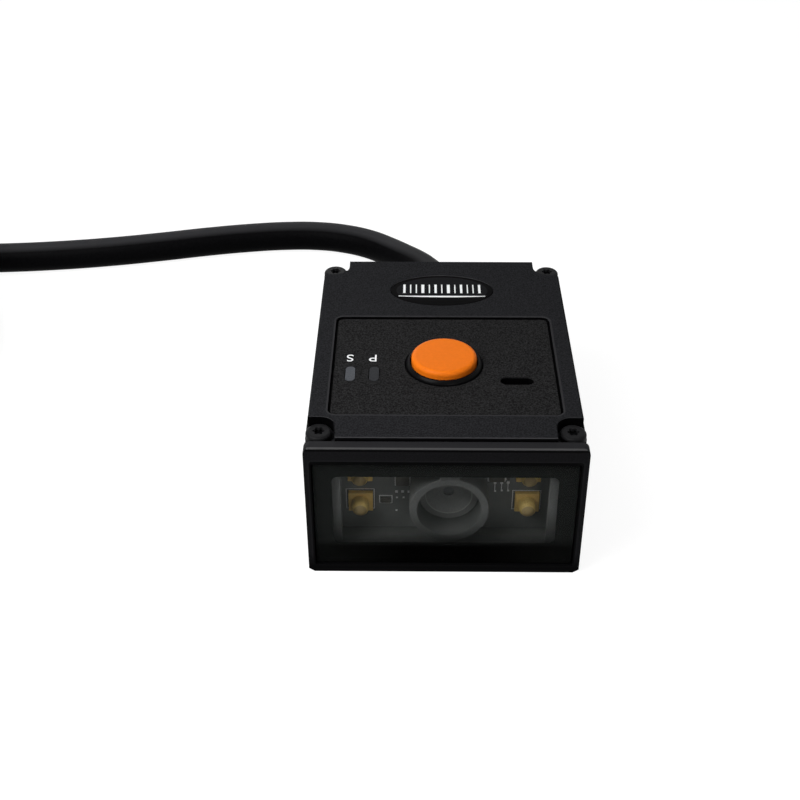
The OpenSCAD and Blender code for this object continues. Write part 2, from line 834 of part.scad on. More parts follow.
module panel_lamps() {
    color([0.85, 0.85, 0.8])
    for (x = [status_x, power_x]) translate([x, light_y, panel_board_top])
        linear_extrude(panel_lamp_h) square([light_w * 0.8, light_l * 0.6], center = true);
}

module buzzer() {
    corner_r = 1;
    port_r = 0.8;
    port_h = 1;
    color([0.1, 0.1, 0.1])
    translate([slot_x, buzzer_y, panel_board_top]) difference() {
        linear_extrude(buzzer_h) rounded(buzzer_w, buzzer_w, corner_r);
        translate([0, slot_y - buzzer_y, buzzer_h - port_h]) cylinder(h = port_h + over, r = port_r);
    }
}

// Flat ribbon from the panel board down to the main board
module panel_ribbon() {
    head = 1;
    y = panel_ribbon_y;
    color(ribbon_amber)
    translate([panel_ribbon_x, 0, 0]) rotate([90, 0, 90]) linear_extrude(panel_ribbon_w) {
        translate([y, main_board_top]) square([ribbon_t, panel_board_z - main_board_top]);
        translate([y, main_board_top]) square([panel_ribbon_foot, ribbon_t]);
        translate([y - head, panel_board_z - ribbon_t]) square([head + ribbon_t, ribbon_t]);
    }
}

// Upright frame that slides into the slots and carries the lens, the light board and the sensor board
module engine_frame() {
    shroud_len = sensor_board_y - engine_rear;
    well = 8;
    color([0.1, 0.1, 0.1])
    difference() {
        union() {
            block(-engine_w / 2, engine_w / 2, engine_y, engine_rear, base_t, engine_z1);
            translate([lens_x - shroud_w / 2, engine_rear - eps, lens_z - shroud_h / 2])
                cube([shroud_w, shroud_len + eps, shroud_h]);
            for (sx = [-1, 1]) translate([lens_x + sx * standoff_x, 0, lens_z])
                rod_y(engine_rear - eps, shroud_len + eps, standoff_r);
        }
        translate([lens_x, 0, lens_z])
            rod_y(engine_y - over, barrel_rear - engine_y + over, barrel_d / 2 + fit);
        translate([lens_x - well / 2, barrel_rear - eps, lens_z - well / 2])
            cube([well, sensor_board_y - barrel_rear + over, well]);
        for (sx = [-1, 1]) translate([lens_x + sx * standoff_x, 0, lens_z])
            rod_y(sensor_board_y + board_t - small_screw_len, small_screw_len, small_screw_r + shank_fit);
        for (sx = [-1, 1]) translate([sx * light_screw_out, 0, light_screw_z])
            rod_y(engine_y - eps, small_screw_len - board_t + slip, small_screw_r + shank_fit);
    }
}

module light_board() {
    color(board_black)
    difference() {
        block(-light_board_w / 2, light_board_w / 2, light_board_y, light_board_y + board_t,
            light_board_z0, light_board_z1);
        translate([lens_x, 0, lens_z]) rod_y(light_board_y - over, board_t + 2 * over, barrel_d / 2 + slip);
        for (sx = [-1, 1]) translate([sx * light_screw_out, 0, light_screw_z])
            rod_y(light_board_y - over, board_t + 2 * over, small_screw_r + slip);
    }
}

// Resistors, a diode and driver chips on the light board's face: x, height, width and length of each
module light_board_parts() {
    part_t = 0.5;
    parts = [
        [-9, 8, 1.5, 0.8], [-6.4, 12.1, 2, 2.2], [8.1, 12.6, 2.3, 1.5], [9.8, 12.8, 0.5, 1],
        [-9.2, 14.4, 1.6, 0.8], [8.6, 15.2, 1.6, 0.8]
    ];
    color([0.3, 0.27, 0.25])
    for (p = parts) translate([p[0], light_board_y - part_t / 2, p[1]])
        cube([p[2], part_t, p[3]], center = true);
}

module light_board_screws() {
    color(steel)
    for (sx = [-1, 1]) translate([sx * light_screw_out, light_board_y, light_screw_z])
        rotate([90, 0, 0]) small_screw();
}

module lamp_bases() {
    color(gold)
    for (p = lamp_places) translate([p[0], light_board_y - lamp_base_t / 2, p[1]])
        cube([lamp_w, lamp_base_t, lamp_h], center = true);
}

module lamp_domes() {
    dome_r = dome_d / 2;
    collar_h = 1.1;
    color([0.8, 0.6, 0.25])
    for (p = lamp_places) translate([p[0], light_board_y - lamp_base_t, p[1]]) rotate([90, 0, 0])
        rotate_extrude() {
            square([dome_r, collar_h]);
            intersection() {
                translate([0, collar_h]) circle(dome_r);
                square([dome_r, collar_h + dome_r]);
            }
        }
}

// Frame just inside the clear opening, as it shows from the front: two sides and a top
module bezel_section() {
    outer_w = opening_w + 2 * (ledge_margin - slip);
    inner_h = 2 * (opening_z1 - bezel_z0);
    difference() {
        translate([-outer_w / 2, bezel_z0]) square([outer_w, bezel_z1 - bezel_z0]);
        translate([0, opening_z1 - inner_h / 2]) rounded(opening_w - 2 * bezel_w, inner_h, mask_corner_r);
    }
}

// Hood around the lens, seated on the light board, in one piece with the frame that a fin ties it to
module lens_hood() {
    length = light_board_y - hood_y;
    fin_t = 1.4;
    fin_z0 = lens_z + hood_d / 2 - 1;
    color([0.24, 0.24, 0.24])
    difference() {
        union() {
            translate([lens_x, 0, lens_z]) rod_y(hood_y, length, hood_d / 2);
            block(lens_x - fin_w / 2, lens_x + fin_w / 2, hood_y, hood_y + fin_t, fin_z0, bezel_z1);
            along_y(bezel_y, bezel_t) bezel_section();
        }
        translate([lens_x, 0, lens_z]) rod_y(hood_y - over, length + 2 * over, hood_bore / 2);
    }
}

// Barrel with a cupped front that narrows to the stop, and a bore for the lenses
module lens_barrel() {
    r = barrel_d / 2;
    rim = 1;
    cup_w = 1.2;
    cup_h = stop_y - barrel_y;
    floor_rise = 0.2;
    lens_seat = lens_y - barrel_y;
    color([0.14, 0.14, 0.14])
    translate([lens_x, barrel_y, lens_z]) rotate([-90, 0, 0]) rotate_extrude() polygon([
        [stop_d / 2, cup_h], [r - rim - cup_w, cup_h - floor_rise], [r - rim, 0], [r, 0], [r, barrel_len],
        [lens_r + shank_fit, barrel_len], [lens_r + shank_fit, lens_seat], [stop_d / 2, lens_seat]
    ]);
}

// A lens: a disc with one domed face, along +Y
module lens(y) {
    bulge = 5;
    color([0.55, 0.6, 0.7, 0.6])
    translate([lens_x, y, lens_z]) rotate([-90, 0, 0]) intersection() {
        cylinder(h = lens_t, r = lens_r);
        translate([0, 0, lens_t - bulge]) sphere(bulge);
    }
}

module front_lens() {
    lens(lens_y);
}

module rear_lens() {
    lens(lens_y + lens_pitch);
}

module sensor_board() {
    color(board_black)
    difference() {
        block(lens_x - sensor_board_w / 2, lens_x + sensor_board_w / 2,
            sensor_board_y, sensor_board_y + board_t, sensor_board_z0, sensor_board_z1);
        for (sx = [-1, 1]) translate([lens_x + sx * standoff_x, 0, lens_z])
            rod_y(sensor_board_y - over, board_t + 2 * over, small_screw_r + slip);
    }
}

module image_sensor() {
    color([0.2, 0.25, 0.22])
    translate([lens_x - sensor_w / 2, sensor_board_y - sensor_t, lens_z - sensor_h / 2])
        cube([sensor_w, sensor_t, sensor_h]);
}

module sensor_board_screws() {
    color(steel)
    for (sx = [-1, 1]) translate([lens_x + sx * standoff_x, sensor_board_y + board_t, lens_z])
        rotate([-90, 0, 0]) small_screw();
}

// Flat ribbon from the back of the sensor board to the main board
module sensor_ribbon() {
    width = 10;
    reach = 3;
    climb = 2.4;
    y0 = sensor_board_y + board_t;
    z = main_board_top;
    color(ribbon_amber)
    translate([lens_x - width / 2, 0, 0]) rotate([90, 0, 90]) linear_extrude(width) {
        translate([y0, z]) square([main_board_y0 + reach - y0, ribbon_t]);
        translate([y0, z]) square([ribbon_t, climb]);
    }
}

module main_board() {
    color(board_black)
    difference() {
        block(-main_board_w / 2, main_board_w / 2, main_board_y0, main_board_y1,
            main_board_z, main_board_top);
        for (p = main_posts) translate([p.x, p.y, main_board_z - over])
            cylinder(h = board_t + 2 * over, r = small_screw_r + slip);
    }
}

module main_board_screws() {
    color(steel)
    for (p = main_posts) translate([p.x, p.y, main_board_top]) small_screw();
}

module chip(x, y, w, d, h) {
    block(x - w / 2, x + w / 2, y - d / 2, y + d / 2, main_board_top, main_board_top + h);
}

module processor() {
    aside = 0.6;
    ahead = 0.4;
    color(chip_black)
    chip(-processor_w / 2 - aside, main_board_y - ahead, processor_w, processor_w, processor_h);
}

// Chip behind the panel ribbon's foot
module memory_chip() {
    gap = 0.9;
    x = socket_w / 2 + gap + memory_w / 2;
    y = panel_ribbon_y + panel_ribbon_foot + gap + memory_d / 2;
    color(chip_black) chip(x, y, memory_w, memory_d, memory_h);
}

// Capacitors along the board's front edge, and a coil and a diode along its left edge
module main_board_parts() {
    edge_in = 2.2;
    capacitor = [2, 1.2, 0.6];
    capacitor_xs = [-10.5, -7.5, 8, 11];
    inductor = [3, 3, 1.5];
    diode = [1.2, 2, 0.6];
    side_x = -main_board_w / 2 + edge_in;
    color([0.45, 0.4, 0.32]) {
        for (x = capacitor_xs) chip(x, main_board_y0 + edge_in, capacitor.x, capacitor.y, capacitor.z);
        chip(side_x, main_board_y + inductor.y, inductor.x, inductor.y, inductor.z);
        chip(side_x, main_board_y - inductor.y, diode.x, diode.y, diode.z);
    }
}

// Socket at the rear of the main board, open towards the cable
module cable_socket() {
    y1 = main_board_y1;
    floor_t = wire_z - cable_plug_h / 2 - fit - main_board_top;
    color([0.85, 0.83, 0.76])
    difference() {
        block(-socket_w / 2, socket_w / 2, y1 - socket_l, y1, main_board_top, main_board_top + socket_h);
        block(-socket_w / 2 + socket_t, socket_w / 2 - socket_t, y1 - cable_plug_l - fit, y1 + over,
            main_board_top + floor_t, main_board_top + socket_h + over);
    }
}

module cable_plug() {
    w = socket_w - 2 * socket_t - 2 * fit;
    y1 = main_board_y1;
    color([0.9, 0.88, 0.82])
    block(-w / 2, w / 2, y1 - cable_plug_l, y1 + cable_plug_out,
        wire_z - cable_plug_h / 2, wire_z + cable_plug_h / 2);
}

// Wires from the strain relief's flange to the plug
module cable_wires() {
    y0 = main_board_y1 + cable_plug_out;
    y1 = cavity_rear - gland_flange_t;
    color([0.6, 0.15, 0.12])
    for (i = [0 : wire_count - 1]) translate([(i - (wire_count - 1) / 2) * wire_pitch, 0, wire_z])
        rod_y(y0, y1 - y0, wire_r);
}

// Moulded grommet: a flange inside, a neck in the wall, a collar outside and a ringed taper
module strain_relief() {
    collar_t = 1.6;
    collar_r = relief_d / 2 + 0.7;
    taper_y0 = rear_y + collar_t;
    taper_l = relief_tip_y - taper_y0;
    ring_l = taper_l / relief_rings;
    ring_share = 0.65;
    groove = 0.5;
    step = (relief_d - relief_end_d) / 2 / relief_rings;
    color(matt_black)
    translate([0, 0, exit_z]) {
        rod_y(cavity_rear - gland_flange_t, gland_flange_t, gland_flange_r);
        rod_y(cavity_rear - eps, wall_t + 2 * eps, gland_r);
        rod_y(rear_y, collar_t, collar_r);
        for (i = [0 : relief_rings - 1]) {
            r = relief_d / 2 - i * step;
            rod_y(taper_y0 + i * ring_l - eps, ring_l * ring_share + eps, r);
            rod_y(taper_y0 + i * ring_l, ring_l, r - groove);
        }
    }
}

// Sweep of a round tube along a list of points
function unit(v) = v / norm(v);
function heading(p, i) = unit(p[min(i + 1, len(p) - 1)] - p[max(i - 1, 0)]);
function ring(p, t, r, n) =
    let (side = unit(cross(t, [0, 0, 1])), up = cross(side, t))
    [for (k = [0 : n - 1]) p + r * (cos(360 * k / n) * side + sin(360 * k / n) * up)];

function lifted(route, z0, z1) = [for (p = route) [p.x, p.y, z0 + p.z * (z1 - z0)]];

module swept(route, r, n, first, last) {
    count = len(route);
    headings = [for (i = [0 : count - 1]) i == 0 ? first : i == count - 1 ? last : heading(route, i)];
    points = [for (i = [0 : count - 1]) each ring(route[i], headings[i], r, n)];
    sides = [for (i = [0 : count - 2], k = [0 : n - 1])
        let (a = i * n + k, b = i * n + (k + 1) % n) [a, a + n, b + n, b]];
    caps = [[for (k = [0 : n - 1]) k], [for (k = [n - 1 : -1 : 0]) (count - 1) * n + k]];
    polyhedron(points, concat(sides, caps), convexity = 10);
}

module cord() {
    color(gloss_black)
    swept(lifted(cord_route, floor_z, exit_z), cable_d / 2, cable_sides, [0, 1, 0], [-1, 0, 0]);
}

module cord_tail() {
    color(gloss_black)
    swept(lifted(tail_route, tail_z, plug_z), cable_d / 2, cable_sides, [-1, 0, 0], [0, -1, 0]);
}

module cord_coil() {
    mid_r = (coil_r_in + coil_r_out) / 2;
    color(gloss_black)
    translate([coil_x, coil_y, 0]) difference() {
        rotate_extrude($fn = 96) translate([mid_r, coil_h / 2])
            rounded(coil_r_out - coil_r_in, coil_h, coil_edge_r);
        translate([0, -mid_r, tie_t / 2]) cube([tie_w + fit, 2 * mid_r, tie_t + fit], center = true);
    }
}

// Strap around the coil's turns
module cable_tie() {
    r0 = coil_r_in - tie_slack;
    r1 = coil_r_out;
    color([0.1, 0.1, 0.1])
    translate([coil_x, coil_y, 0]) difference() {
        block(-tie_w / 2, tie_w / 2, -r1 - tie_t, -r0 + tie_t, 0, coil_h + tie_t);
        block(-tie_w / 2 - over, tie_w / 2 + over, -r1, -r0, tie_t, coil_h);
    }
}

// Moulded plug body with a ringed neck and grip grooves
module plug_body() {
    neck_r = plug_h / 2 - 0.2;
    neck_rings = 3;
    neck_step = 0.35;
    ring_l = plug_neck_l / neck_rings;
    groove = [0.8, 1, plug_h + over];
    groove_pitch = 2.4;
    first_groove = 7;
    color(gloss_black)
    translate([plug_x, 0, plug_z]) {
        for (i = [1 : neck_rings])
            rod_y(plug_tip_y - ring_l * i, ring_l, neck_r - neck_step * (neck_rings - i));
        difference() {
            along_y(shell_y, plug_body_l) rounded(plug_w, plug_h, plug_edge_r);
            for (sx = [-1, 1], k = [0 : 3])
                translate([sx * plug_w / 2, shell_y + first_groove + k * groove_pitch, 0])
                    cube(groove, center = true);
        }
    }
}

module plug_shell() {
    y0 = shell_y - shell_l;
    corner_r = 0.5;
    latch = [2, 2.2, 2 * shell_t + over];
    latch_x = 2.6;
    latch_y = 4.5;
    color(steel)
    translate([plug_x, 0, plug_z]) difference() {
        along_y(y0, shell_l) rounded(shell_w, shell_h, corner_r);
        along_y(y0 - over, shell_l - shell_back_t + over)
            square([shell_w - 2 * shell_t, shell_h - 2 * shell_t], center = true);
        for (sx = [-1, 1]) translate([sx * latch_x, y0 + latch_y, shell_h / 2]) cube(latch, center = true);
    }
}

module plug_tongue() {
    w = shell_w - 2 * shell_t - 2 * fit;
    sink = 0.8;
    color([0.92, 0.92, 0.9])
    translate([plug_x, 0, plug_z])
        block(-w / 2, w / 2, shell_y - shell_l + sink, shell_y - shell_back_t, -shell_h / 2 + shell_t, -fit);
}

housing();
mount_inserts();
window_gasket();
front_window();
top_cover();
cover_screws();
panel_overlay();
badge_plate();
button_collar();
trigger_button();
status_light_pipe();
power_light_pipe();
panel_board();
panel_board_screws();
button_switch();
panel_lamps();
buzzer();
panel_ribbon();
engine_frame();
light_board();
light_board_parts();
light_board_screws();
lamp_bases();
lamp_domes();
lens_hood();
lens_barrel();
front_lens();
rear_lens();
sensor_board();
image_sensor();
sensor_board_screws();
sensor_ribbon();
main_board();
main_board_screws();
processor();
memory_chip();
main_board_parts();
cable_socket();
cable_plug();
cable_wires();
strain_relief();
cord();
cord_coil();
cord_tail();
cable_tie();
plug_body();
plug_shell();
plug_tongue();
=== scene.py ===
import math

import bpy
from mathutils import Matrix, Vector


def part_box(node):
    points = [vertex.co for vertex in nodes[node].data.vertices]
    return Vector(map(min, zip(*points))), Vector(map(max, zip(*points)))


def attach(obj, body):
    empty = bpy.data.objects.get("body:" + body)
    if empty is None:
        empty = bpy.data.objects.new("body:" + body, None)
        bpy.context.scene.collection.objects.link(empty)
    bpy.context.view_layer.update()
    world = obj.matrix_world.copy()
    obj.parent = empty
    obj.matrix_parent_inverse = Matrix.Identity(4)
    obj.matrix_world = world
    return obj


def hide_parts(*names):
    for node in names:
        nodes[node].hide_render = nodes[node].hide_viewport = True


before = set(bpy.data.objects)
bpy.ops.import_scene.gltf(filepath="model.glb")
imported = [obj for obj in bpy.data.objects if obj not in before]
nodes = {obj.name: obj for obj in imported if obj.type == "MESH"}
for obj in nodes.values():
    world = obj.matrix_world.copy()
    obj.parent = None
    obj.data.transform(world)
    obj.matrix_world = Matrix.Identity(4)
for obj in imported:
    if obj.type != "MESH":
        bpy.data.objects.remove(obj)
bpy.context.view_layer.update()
scene = bpy.context.scene
scene.view_settings.view_transform = "Standard"

# Millimetres to metres
MM = 0.001
READER = "reader"


def mm(*values):
    return Vector(values) * MM


def middle_of(node):
    """The middle of a CAD piece's box."""
    low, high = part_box(node)
    return (Vector(low) + Vector(high)) / 2


def half_of(node):
    """Half the size of a CAD piece's box."""
    low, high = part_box(node)
    return (Vector(high) - Vector(low)) / 2


def top_of(node):
    """The height of a CAD piece's top."""
    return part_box(node)[1][2]


# Camera at the photograph's viewing angle
IMAGE_PX = 800
FOCAL_PX = 1265
SENSOR_MM = 36
CLIP_START = 5 * MM
CAMERA_PLACE = mm(-4.73, -170.86, 134.96)
CAMERA_YAW = math.radians(-0.767)
CAMERA_PITCH = math.radians(35.5)
CAMERA_ROLL = math.radians(0.181)


def add_camera():
    level = math.cos(CAMERA_PITCH)
    forward = Vector((math.sin(CAMERA_YAW) * level, math.cos(CAMERA_YAW) * level, -math.sin(CAMERA_PITCH)))
    level_right = Vector((math.cos(CAMERA_YAW), -math.sin(CAMERA_YAW), 0))
    level_down = forward.cross(level_right)
    right = level_right * math.cos(CAMERA_ROLL) + level_down * math.sin(CAMERA_ROLL)
    up = level_right * math.sin(CAMERA_ROLL) - level_down * math.cos(CAMERA_ROLL)
    data = bpy.data.cameras.new("camera")
    data.sensor_width = SENSOR_MM
    data.lens = SENSOR_MM * FOCAL_PX / IMAGE_PX
    data.clip_start = CLIP_START
    camera = bpy.data.objects.new("camera", data)
    axes = Matrix((right, up, -forward)).transposed().to_4x4()
    camera.matrix_world = Matrix.Translation(CAMERA_PLACE) @ axes
    scene.collection.objects.link(camera)
    scene.camera = camera


add_camera()


# Cable: its route over the floor in millimetres, the coil of its spare length, and its end on top of that
CABLE_D = 6.2
EXIT = (0, 45, 7)
FLOOR_Z = CABLE_D / 2
CORD_ROUTE = [
    (0, 45, 1), (-0.2, 48.5, 0.95), (-0.9, 52.5, 0.77), (-2.2, 57, 0.51), (-4.2, 61.2, 0.28),
    (-7, 65.2, 0.1), (-10.4, 69, 0), (-14.6, 72.2, 0), (-20, 74.6, 0), (-26, 75.8, 0), (-33, 75.8, 0),
    (-41, 74.8, 0), (-50, 73, 0), (-59, 70.8, 0), (-69, 68.6, 0), (-80, 66.8, 0),
    (-92, 65.6, 0), (-104, 65.1, 0), (-117, 65, 0), (-130, 65, 0),
]
TAIL_ROUTE = [
    (-130, 65, 0), (-139, 64, 0.1), (-147.5, 60.6, 0.35), (-154.6, 55.2, 0.66), (-160, 48, 0.89),
    (-163, 40, 0.99), (-164, 32.6, 1),
]
COIL_CENTRE = (-130, 24.6)
COIL_TURNS = [40.4, 34.2, 28, 28, 34.2, 40.4]
COIL_LAYERS = [0, 0, 0, 1, 1, 1, 2]
COIL_START_DEG = 90
COIL_STEP_DEG = 15
CHANGE_FROM_DEG = 300
LAST_CLIMB_DEG = 70
CLIMB_INWARDS = 3.5
PLUG_Z = 16.4
CABLE_ROUND_STEPS = 7
CABLE_CURVE_STEPS = 5


def smooth(share):
    share = min(1, max(0, share))
    return share * share * (3 - 2 * share)


def coil_point(degrees):
    """A point of the coil, which winds inwards on the floor and back outwards on top of that."""
    turn, within = divmod(degrees, 360)
    turn = int(turn)
    last = turn == len(COIL_TURNS) - 1
    share = (within - CHANGE_FROM_DEG) / (360 - CHANGE_FROM_DEG)
    change = smooth(share)
    here = COIL_TURNS[turn]
    radius = here if last else here + change * (COIL_TURNS[turn + 1] - here)
    climb = smooth((within - CHANGE_FROM_DEG + LAST_CLIMB_DEG) / LAST_CLIMB_DEG) if last else change
    layer = COIL_LAYERS[turn] + climb * (COIL_LAYERS[turn + 1] - COIL_LAYERS[turn])
    if COIL_LAYERS[turn + 1] > COIL_LAYERS[turn] and not last:
        radius -= CLIMB_INWARDS * math.sin(math.pi * min(1, max(0, share)))
    angle = math.radians(COIL_START_DEG + degrees)
    x = COIL_CENTRE[0] + radius * math.cos(angle)
    y = COIL_CENTRE[1] + radius * math.sin(angle)
    return x, y, FLOOR_Z + layer * CABLE_D


def cable_points():
    tail_z = FLOOR_Z + COIL_LAYERS[-1] * CABLE_D
    cord = [(x, y, FLOOR_Z + share * (EXIT[2] - FLOOR_Z)) for x, y, share in CORD_ROUTE]
    whole = 360 * len(COIL_TURNS)
    coil = [coil_point(a) for a in range(COIL_STEP_DEG, whole, COIL_STEP_DEG)]
    tail = [(x, y, tail_z + share * (PLUG_Z - tail_z)) for x, y, share in TAIL_ROUTE]
    return [mm(*p) for p in cord + coil + tail]


def add_cable():
    """The cable as one curve, whose knots hold its radius."""
    data = bpy.data.curves.new("cable", "CURVE")
    data.dimensions = "3D"
    data.bevel_depth = 1
    data.bevel_resolution = CABLE_ROUND_STEPS
    data.resolution_u = CABLE_CURVE_STEPS
    data.use_fill_caps = True
    spline = data.splines.new("BEZIER")
    points = cable_points()
    spline.bezier_points.add(len(points) - 1)
    for knot, point in zip(spline.bezier_points, points):
        knot.co = point
        knot.radius = CABLE_D / 2 * MM
        knot.handle_left_type = "AUTO"
        knot.handle_right_type = "AUTO"
    cable = bpy.data.objects.new("cable", data)
    scene.collection.objects.link(cable)
    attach(cable, READER)
    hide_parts("cord", "cord_coil", "cord_tail")
    return cable


cable = add_cable()


# Procedural finishes: a material with plain values, and the nodes that make it uneven
NOISE_LOW = 0.3
NOISE_HIGH = 0.7
UP = (0, 0, 1)
AHEAD = (0, -1, 0)
REARWARDS = (0, 1, 0)
LEFTWARDS = (-1, 0, 0)
SIDEWAYS = (1, 0, 0)
FRONT_PLANE = (1, 0, 1)
TOP_PLANE = (1, 1, 0)


def new_material(name, color, roughness, specular=0.3, metallic=0.0):
    """A material whose shader holds the plain values; the finishes below add their texture to it."""
    material = bpy.data.materials.new(name)
    material.use_nodes = True
    material.diffuse_color = (*color, 1)
    shader = material.node_tree.nodes["Principled BSDF"]
    shader.inputs["Base Color"].default_value = (*color, 1)
    shader.inputs["Roughness"].default_value = roughness
    shader.inputs["Specular IOR Level"].default_value = specular
    shader.inputs["Metallic"].default_value = metallic
    return material, shader


def place_of(tree):
    """The point's place in the object, which is its place in the frame."""
    return tree.nodes.new("ShaderNodeTexCoord").outputs["Object"]


def math_node(tree, operation, one, other):
    node = tree.nodes.new("ShaderNodeMath")
    node.operation = operation
    tree.links.new(one, node.inputs[0])
    tree.links.new(other, node.inputs[1])
    return node.outputs["Value"]


def times(tree, one, other):
    return math_node(tree, "MULTIPLY", one, other)


def larger(tree, one, other):
    return math_node(tree, "MAXIMUM", one, other)


def vector_node(tree, operation, vector, constant):
    node = tree.nodes.new("ShaderNodeVectorMath")
    node.operation = operation
    node.inputs[1].default_value = constant
    tree.links.new(vector, node.inputs[0])
    return node


def to_vector(tree, operation, vector, constant=(0, 0, 0)):
    return vector_node(tree, operation, vector, constant).outputs["Vector"]


def to_value(tree, operation, vector, constant=(0, 0, 0)):
    return vector_node(tree, operation, vector, constant).outputs["Value"]


def along(tree, direction):
    """How far along a direction the point lies."""
    return to_value(tree, "DOT_PRODUCT", place_of(tree), direction)


def facing(tree, direction):
    """How much the surface faces a direction, 1 for straight at it."""
    normal = tree.nodes.new("ShaderNodeNewGeometry").outputs["Normal"]
    return to_value(tree, "DOT_PRODUCT", normal, direction)


def past_box(tree, middle, half):
    """How far the point lies past the sides of a box, along each axis."""
    apart = to_vector(tree, "SUBTRACT", place_of(tree), middle)
    return to_vector(tree, "SUBTRACT", to_vector(tree, "ABSOLUTE", apart), half)


def past_core(tree, middle, half, corner, plane):
    """Distance in a plane from the core of a rounded rectangle, whose edge is the corner's radius away."""
    past = past_box(tree, middle, half - Vector(plane) * corner)
    beyond = to_vector(tree, "MAXIMUM", past)
    return to_value(tree, "LENGTH", to_vector(tree, "MULTIPLY", beyond, plane))


def mapped(tree, value, start, end, low=0.0, high=1.0):
    """Maps one range on to another, and stays at its ends outside them."""
    node = tree.nodes.new("ShaderNodeMapRange")
    node.inputs["From Min"].default_value = start
    node.inputs["From Max"].default_value = end
    node.inputs["To Min"].default_value = low
    node.inputs["To Max"].default_value = high
    tree.links.new(value, node.inputs["Value"])
    return node.outputs["Result"]


def above(tree, value, edge, blend):
    """1 for values above an edge, which is a blend wide."""
    return mapped(tree, value, edge - blend, edge)


def below(tree, value, edge, blend):
    """1 for values below an edge, which is a blend wide."""
    return mapped(tree, value, edge - blend, edge, 1, 0)


def noise(tree, size_mm, detail=2.0, stretch=(1, 1, 1)):
    """Noise with features of the given size."""
    scale = tree.nodes.new("ShaderNodeMapping")
    scale.inputs["Scale"].default_value = stretch
    texture = tree.nodes.new("ShaderNodeTexNoise")
    texture.inputs["Scale"].default_value = 1 / (size_mm * MM)
    texture.inputs["Detail"].default_value = detail
    tree.links.new(place_of(tree), scale.inputs["Vector"])
    tree.links.new(scale.outputs["Vector"], texture.inputs["Vector"])
    return texture.outputs["Fac"]


def from_noise(tree, value, low, high):
    return mapped(tree, value, NOISE_LOW, NOISE_HIGH, low, high)


def shade(tree, share, dark, light):
    """Mixes two colours by a share from 0 to 1."""
    node = tree.nodes.new("ShaderNodeMix")
    node.data_type = "RGBA"
    node.inputs["A"].default_value = (*dark, 1)
    node.inputs["B"].default_value = (*light, 1)
    tree.links.new(share, node.inputs["Factor"])
    return node.outputs["Result"]


def recolour(tree, share, color):
    """Mixes a colour over the material's own where the share is 1."""
    target = tree.nodes["Principled BSDF"].inputs["Base Color"]
    mix = tree.nodes.new("ShaderNodeMix")
    mix.data_type = "RGBA"
    mix.inputs["B"].default_value = (*color, 1)
    tree.links.new(share, mix.inputs["Factor"])
    tree.links.new(target.links[0].from_socket, mix.inputs["A"])
    tree.links.new(mix.outputs["Result"], target)


def bump(tree, value, depth_mm):
    node = tree.nodes.new("ShaderNodeBump")
    node.inputs["Distance"].default_value = depth_mm * MM
    tree.links.new(value, node.inputs["Height"])
    tree.links.new(node.outputs["Normal"], tree.nodes["Principled BSDF"].inputs["Normal"])


def varied(color, share):
    return tuple(min(1, c * share) for c in color)


# Plain kinds of finish: moulded plastic, metal and clear pieces
DULL = 0.04
CLOUD_MM = 9
GLOSS_SPREAD = 0.06
METAL_SPREAD = 0.09
MARK_DEPTH = 0.004
SMEAR_MM = 6
SMEAR_SPREAD = 0.05


def moulded(name, color, roughness=0.5, grain_mm=0.25, depth_mm=0.012, mottle=0.2, specular=0.3):
    """Moulded plastic: a fine grain in the surface, with the colour and gloss a little uneven."""
    material, shader = new_material(name, color, roughness, specular)
    tree = material.node_tree
    grain = noise(tree, grain_mm)
    tint = shade(tree, from_noise(tree, grain, 0, 1), varied(color, 1 - mottle), varied(color, 1 + mottle))
    tree.links.new(tint, shader.inputs["Base Color"])
    cloud = noise(tree, CLOUD_MM, detail=3)
    gloss = from_noise(tree, cloud, roughness - GLOSS_SPREAD, roughness + GLOSS_SPREAD)
    tree.links.new(gloss, shader.inputs["Roughness"])
    bump(tree, grain, depth_mm)
    return material


def metal(name, color, roughness=0.3, grain_mm=0.5, stretch=(1, 1, 0.05)):
    """Plated or turned metal with fine drawn marks."""
    material, shader = new_material(name, color, roughness, specular=0.5, metallic=1.0)
    tree = material.node_tree
    marks = noise(tree, grain_mm, stretch=stretch)
    gloss = from_noise(tree, marks, roughness - METAL_SPREAD, roughness + METAL_SPREAD)
    tree.links.new(gloss, shader.inputs["Roughness"])
    bump(tree, marks, MARK_DEPTH)
    return material


def clear(name, color, alpha, roughness=0.04, specular=0.4):
    """A clear piece: partly see-through, with its own gloss."""
    material, shader = new_material(name, color, roughness, specular)
    shader.inputs["Alpha"].default_value = alpha
    tree = material.node_tree
    smears = noise(tree, SMEAR_MM, detail=4)
    tree.links.new(from_noise(tree, smears, roughness, roughness + SMEAR_SPREAD), shader.inputs["Roughness"])
    return material


# Housing: black, with painted light on top, a painted highlight on the front edge, a painted shadow line
# around the window, painted shade near the floor, and a grey coat inside
HOUSING_BLACK = (0.0085, 0.0085, 0.0094)
# Painted shade towards the floor
LOW_PAINTED_SHADE = (0.0008, 0.0008, 0.001)
LOW_FROM = 1 * MM
LOW_TO = 4 * MM
# Black for painted shade and painted shadow lines
PAINTED_SHADE_BLACK = (0.0015, 0.0015, 0.0017)
# Painted light: upward faces near the top are lighter, as if lit from above
TOP_PAINTED_LIGHT = (0.0155, 0.0155, 0.0168)
TOP_LIGHT_FACING = 0.9
TOP_LIGHT_BLEND = 0.4
NEAR_TOP = 21 * MM
NEAR_TOP_BLEND = 1 * MM
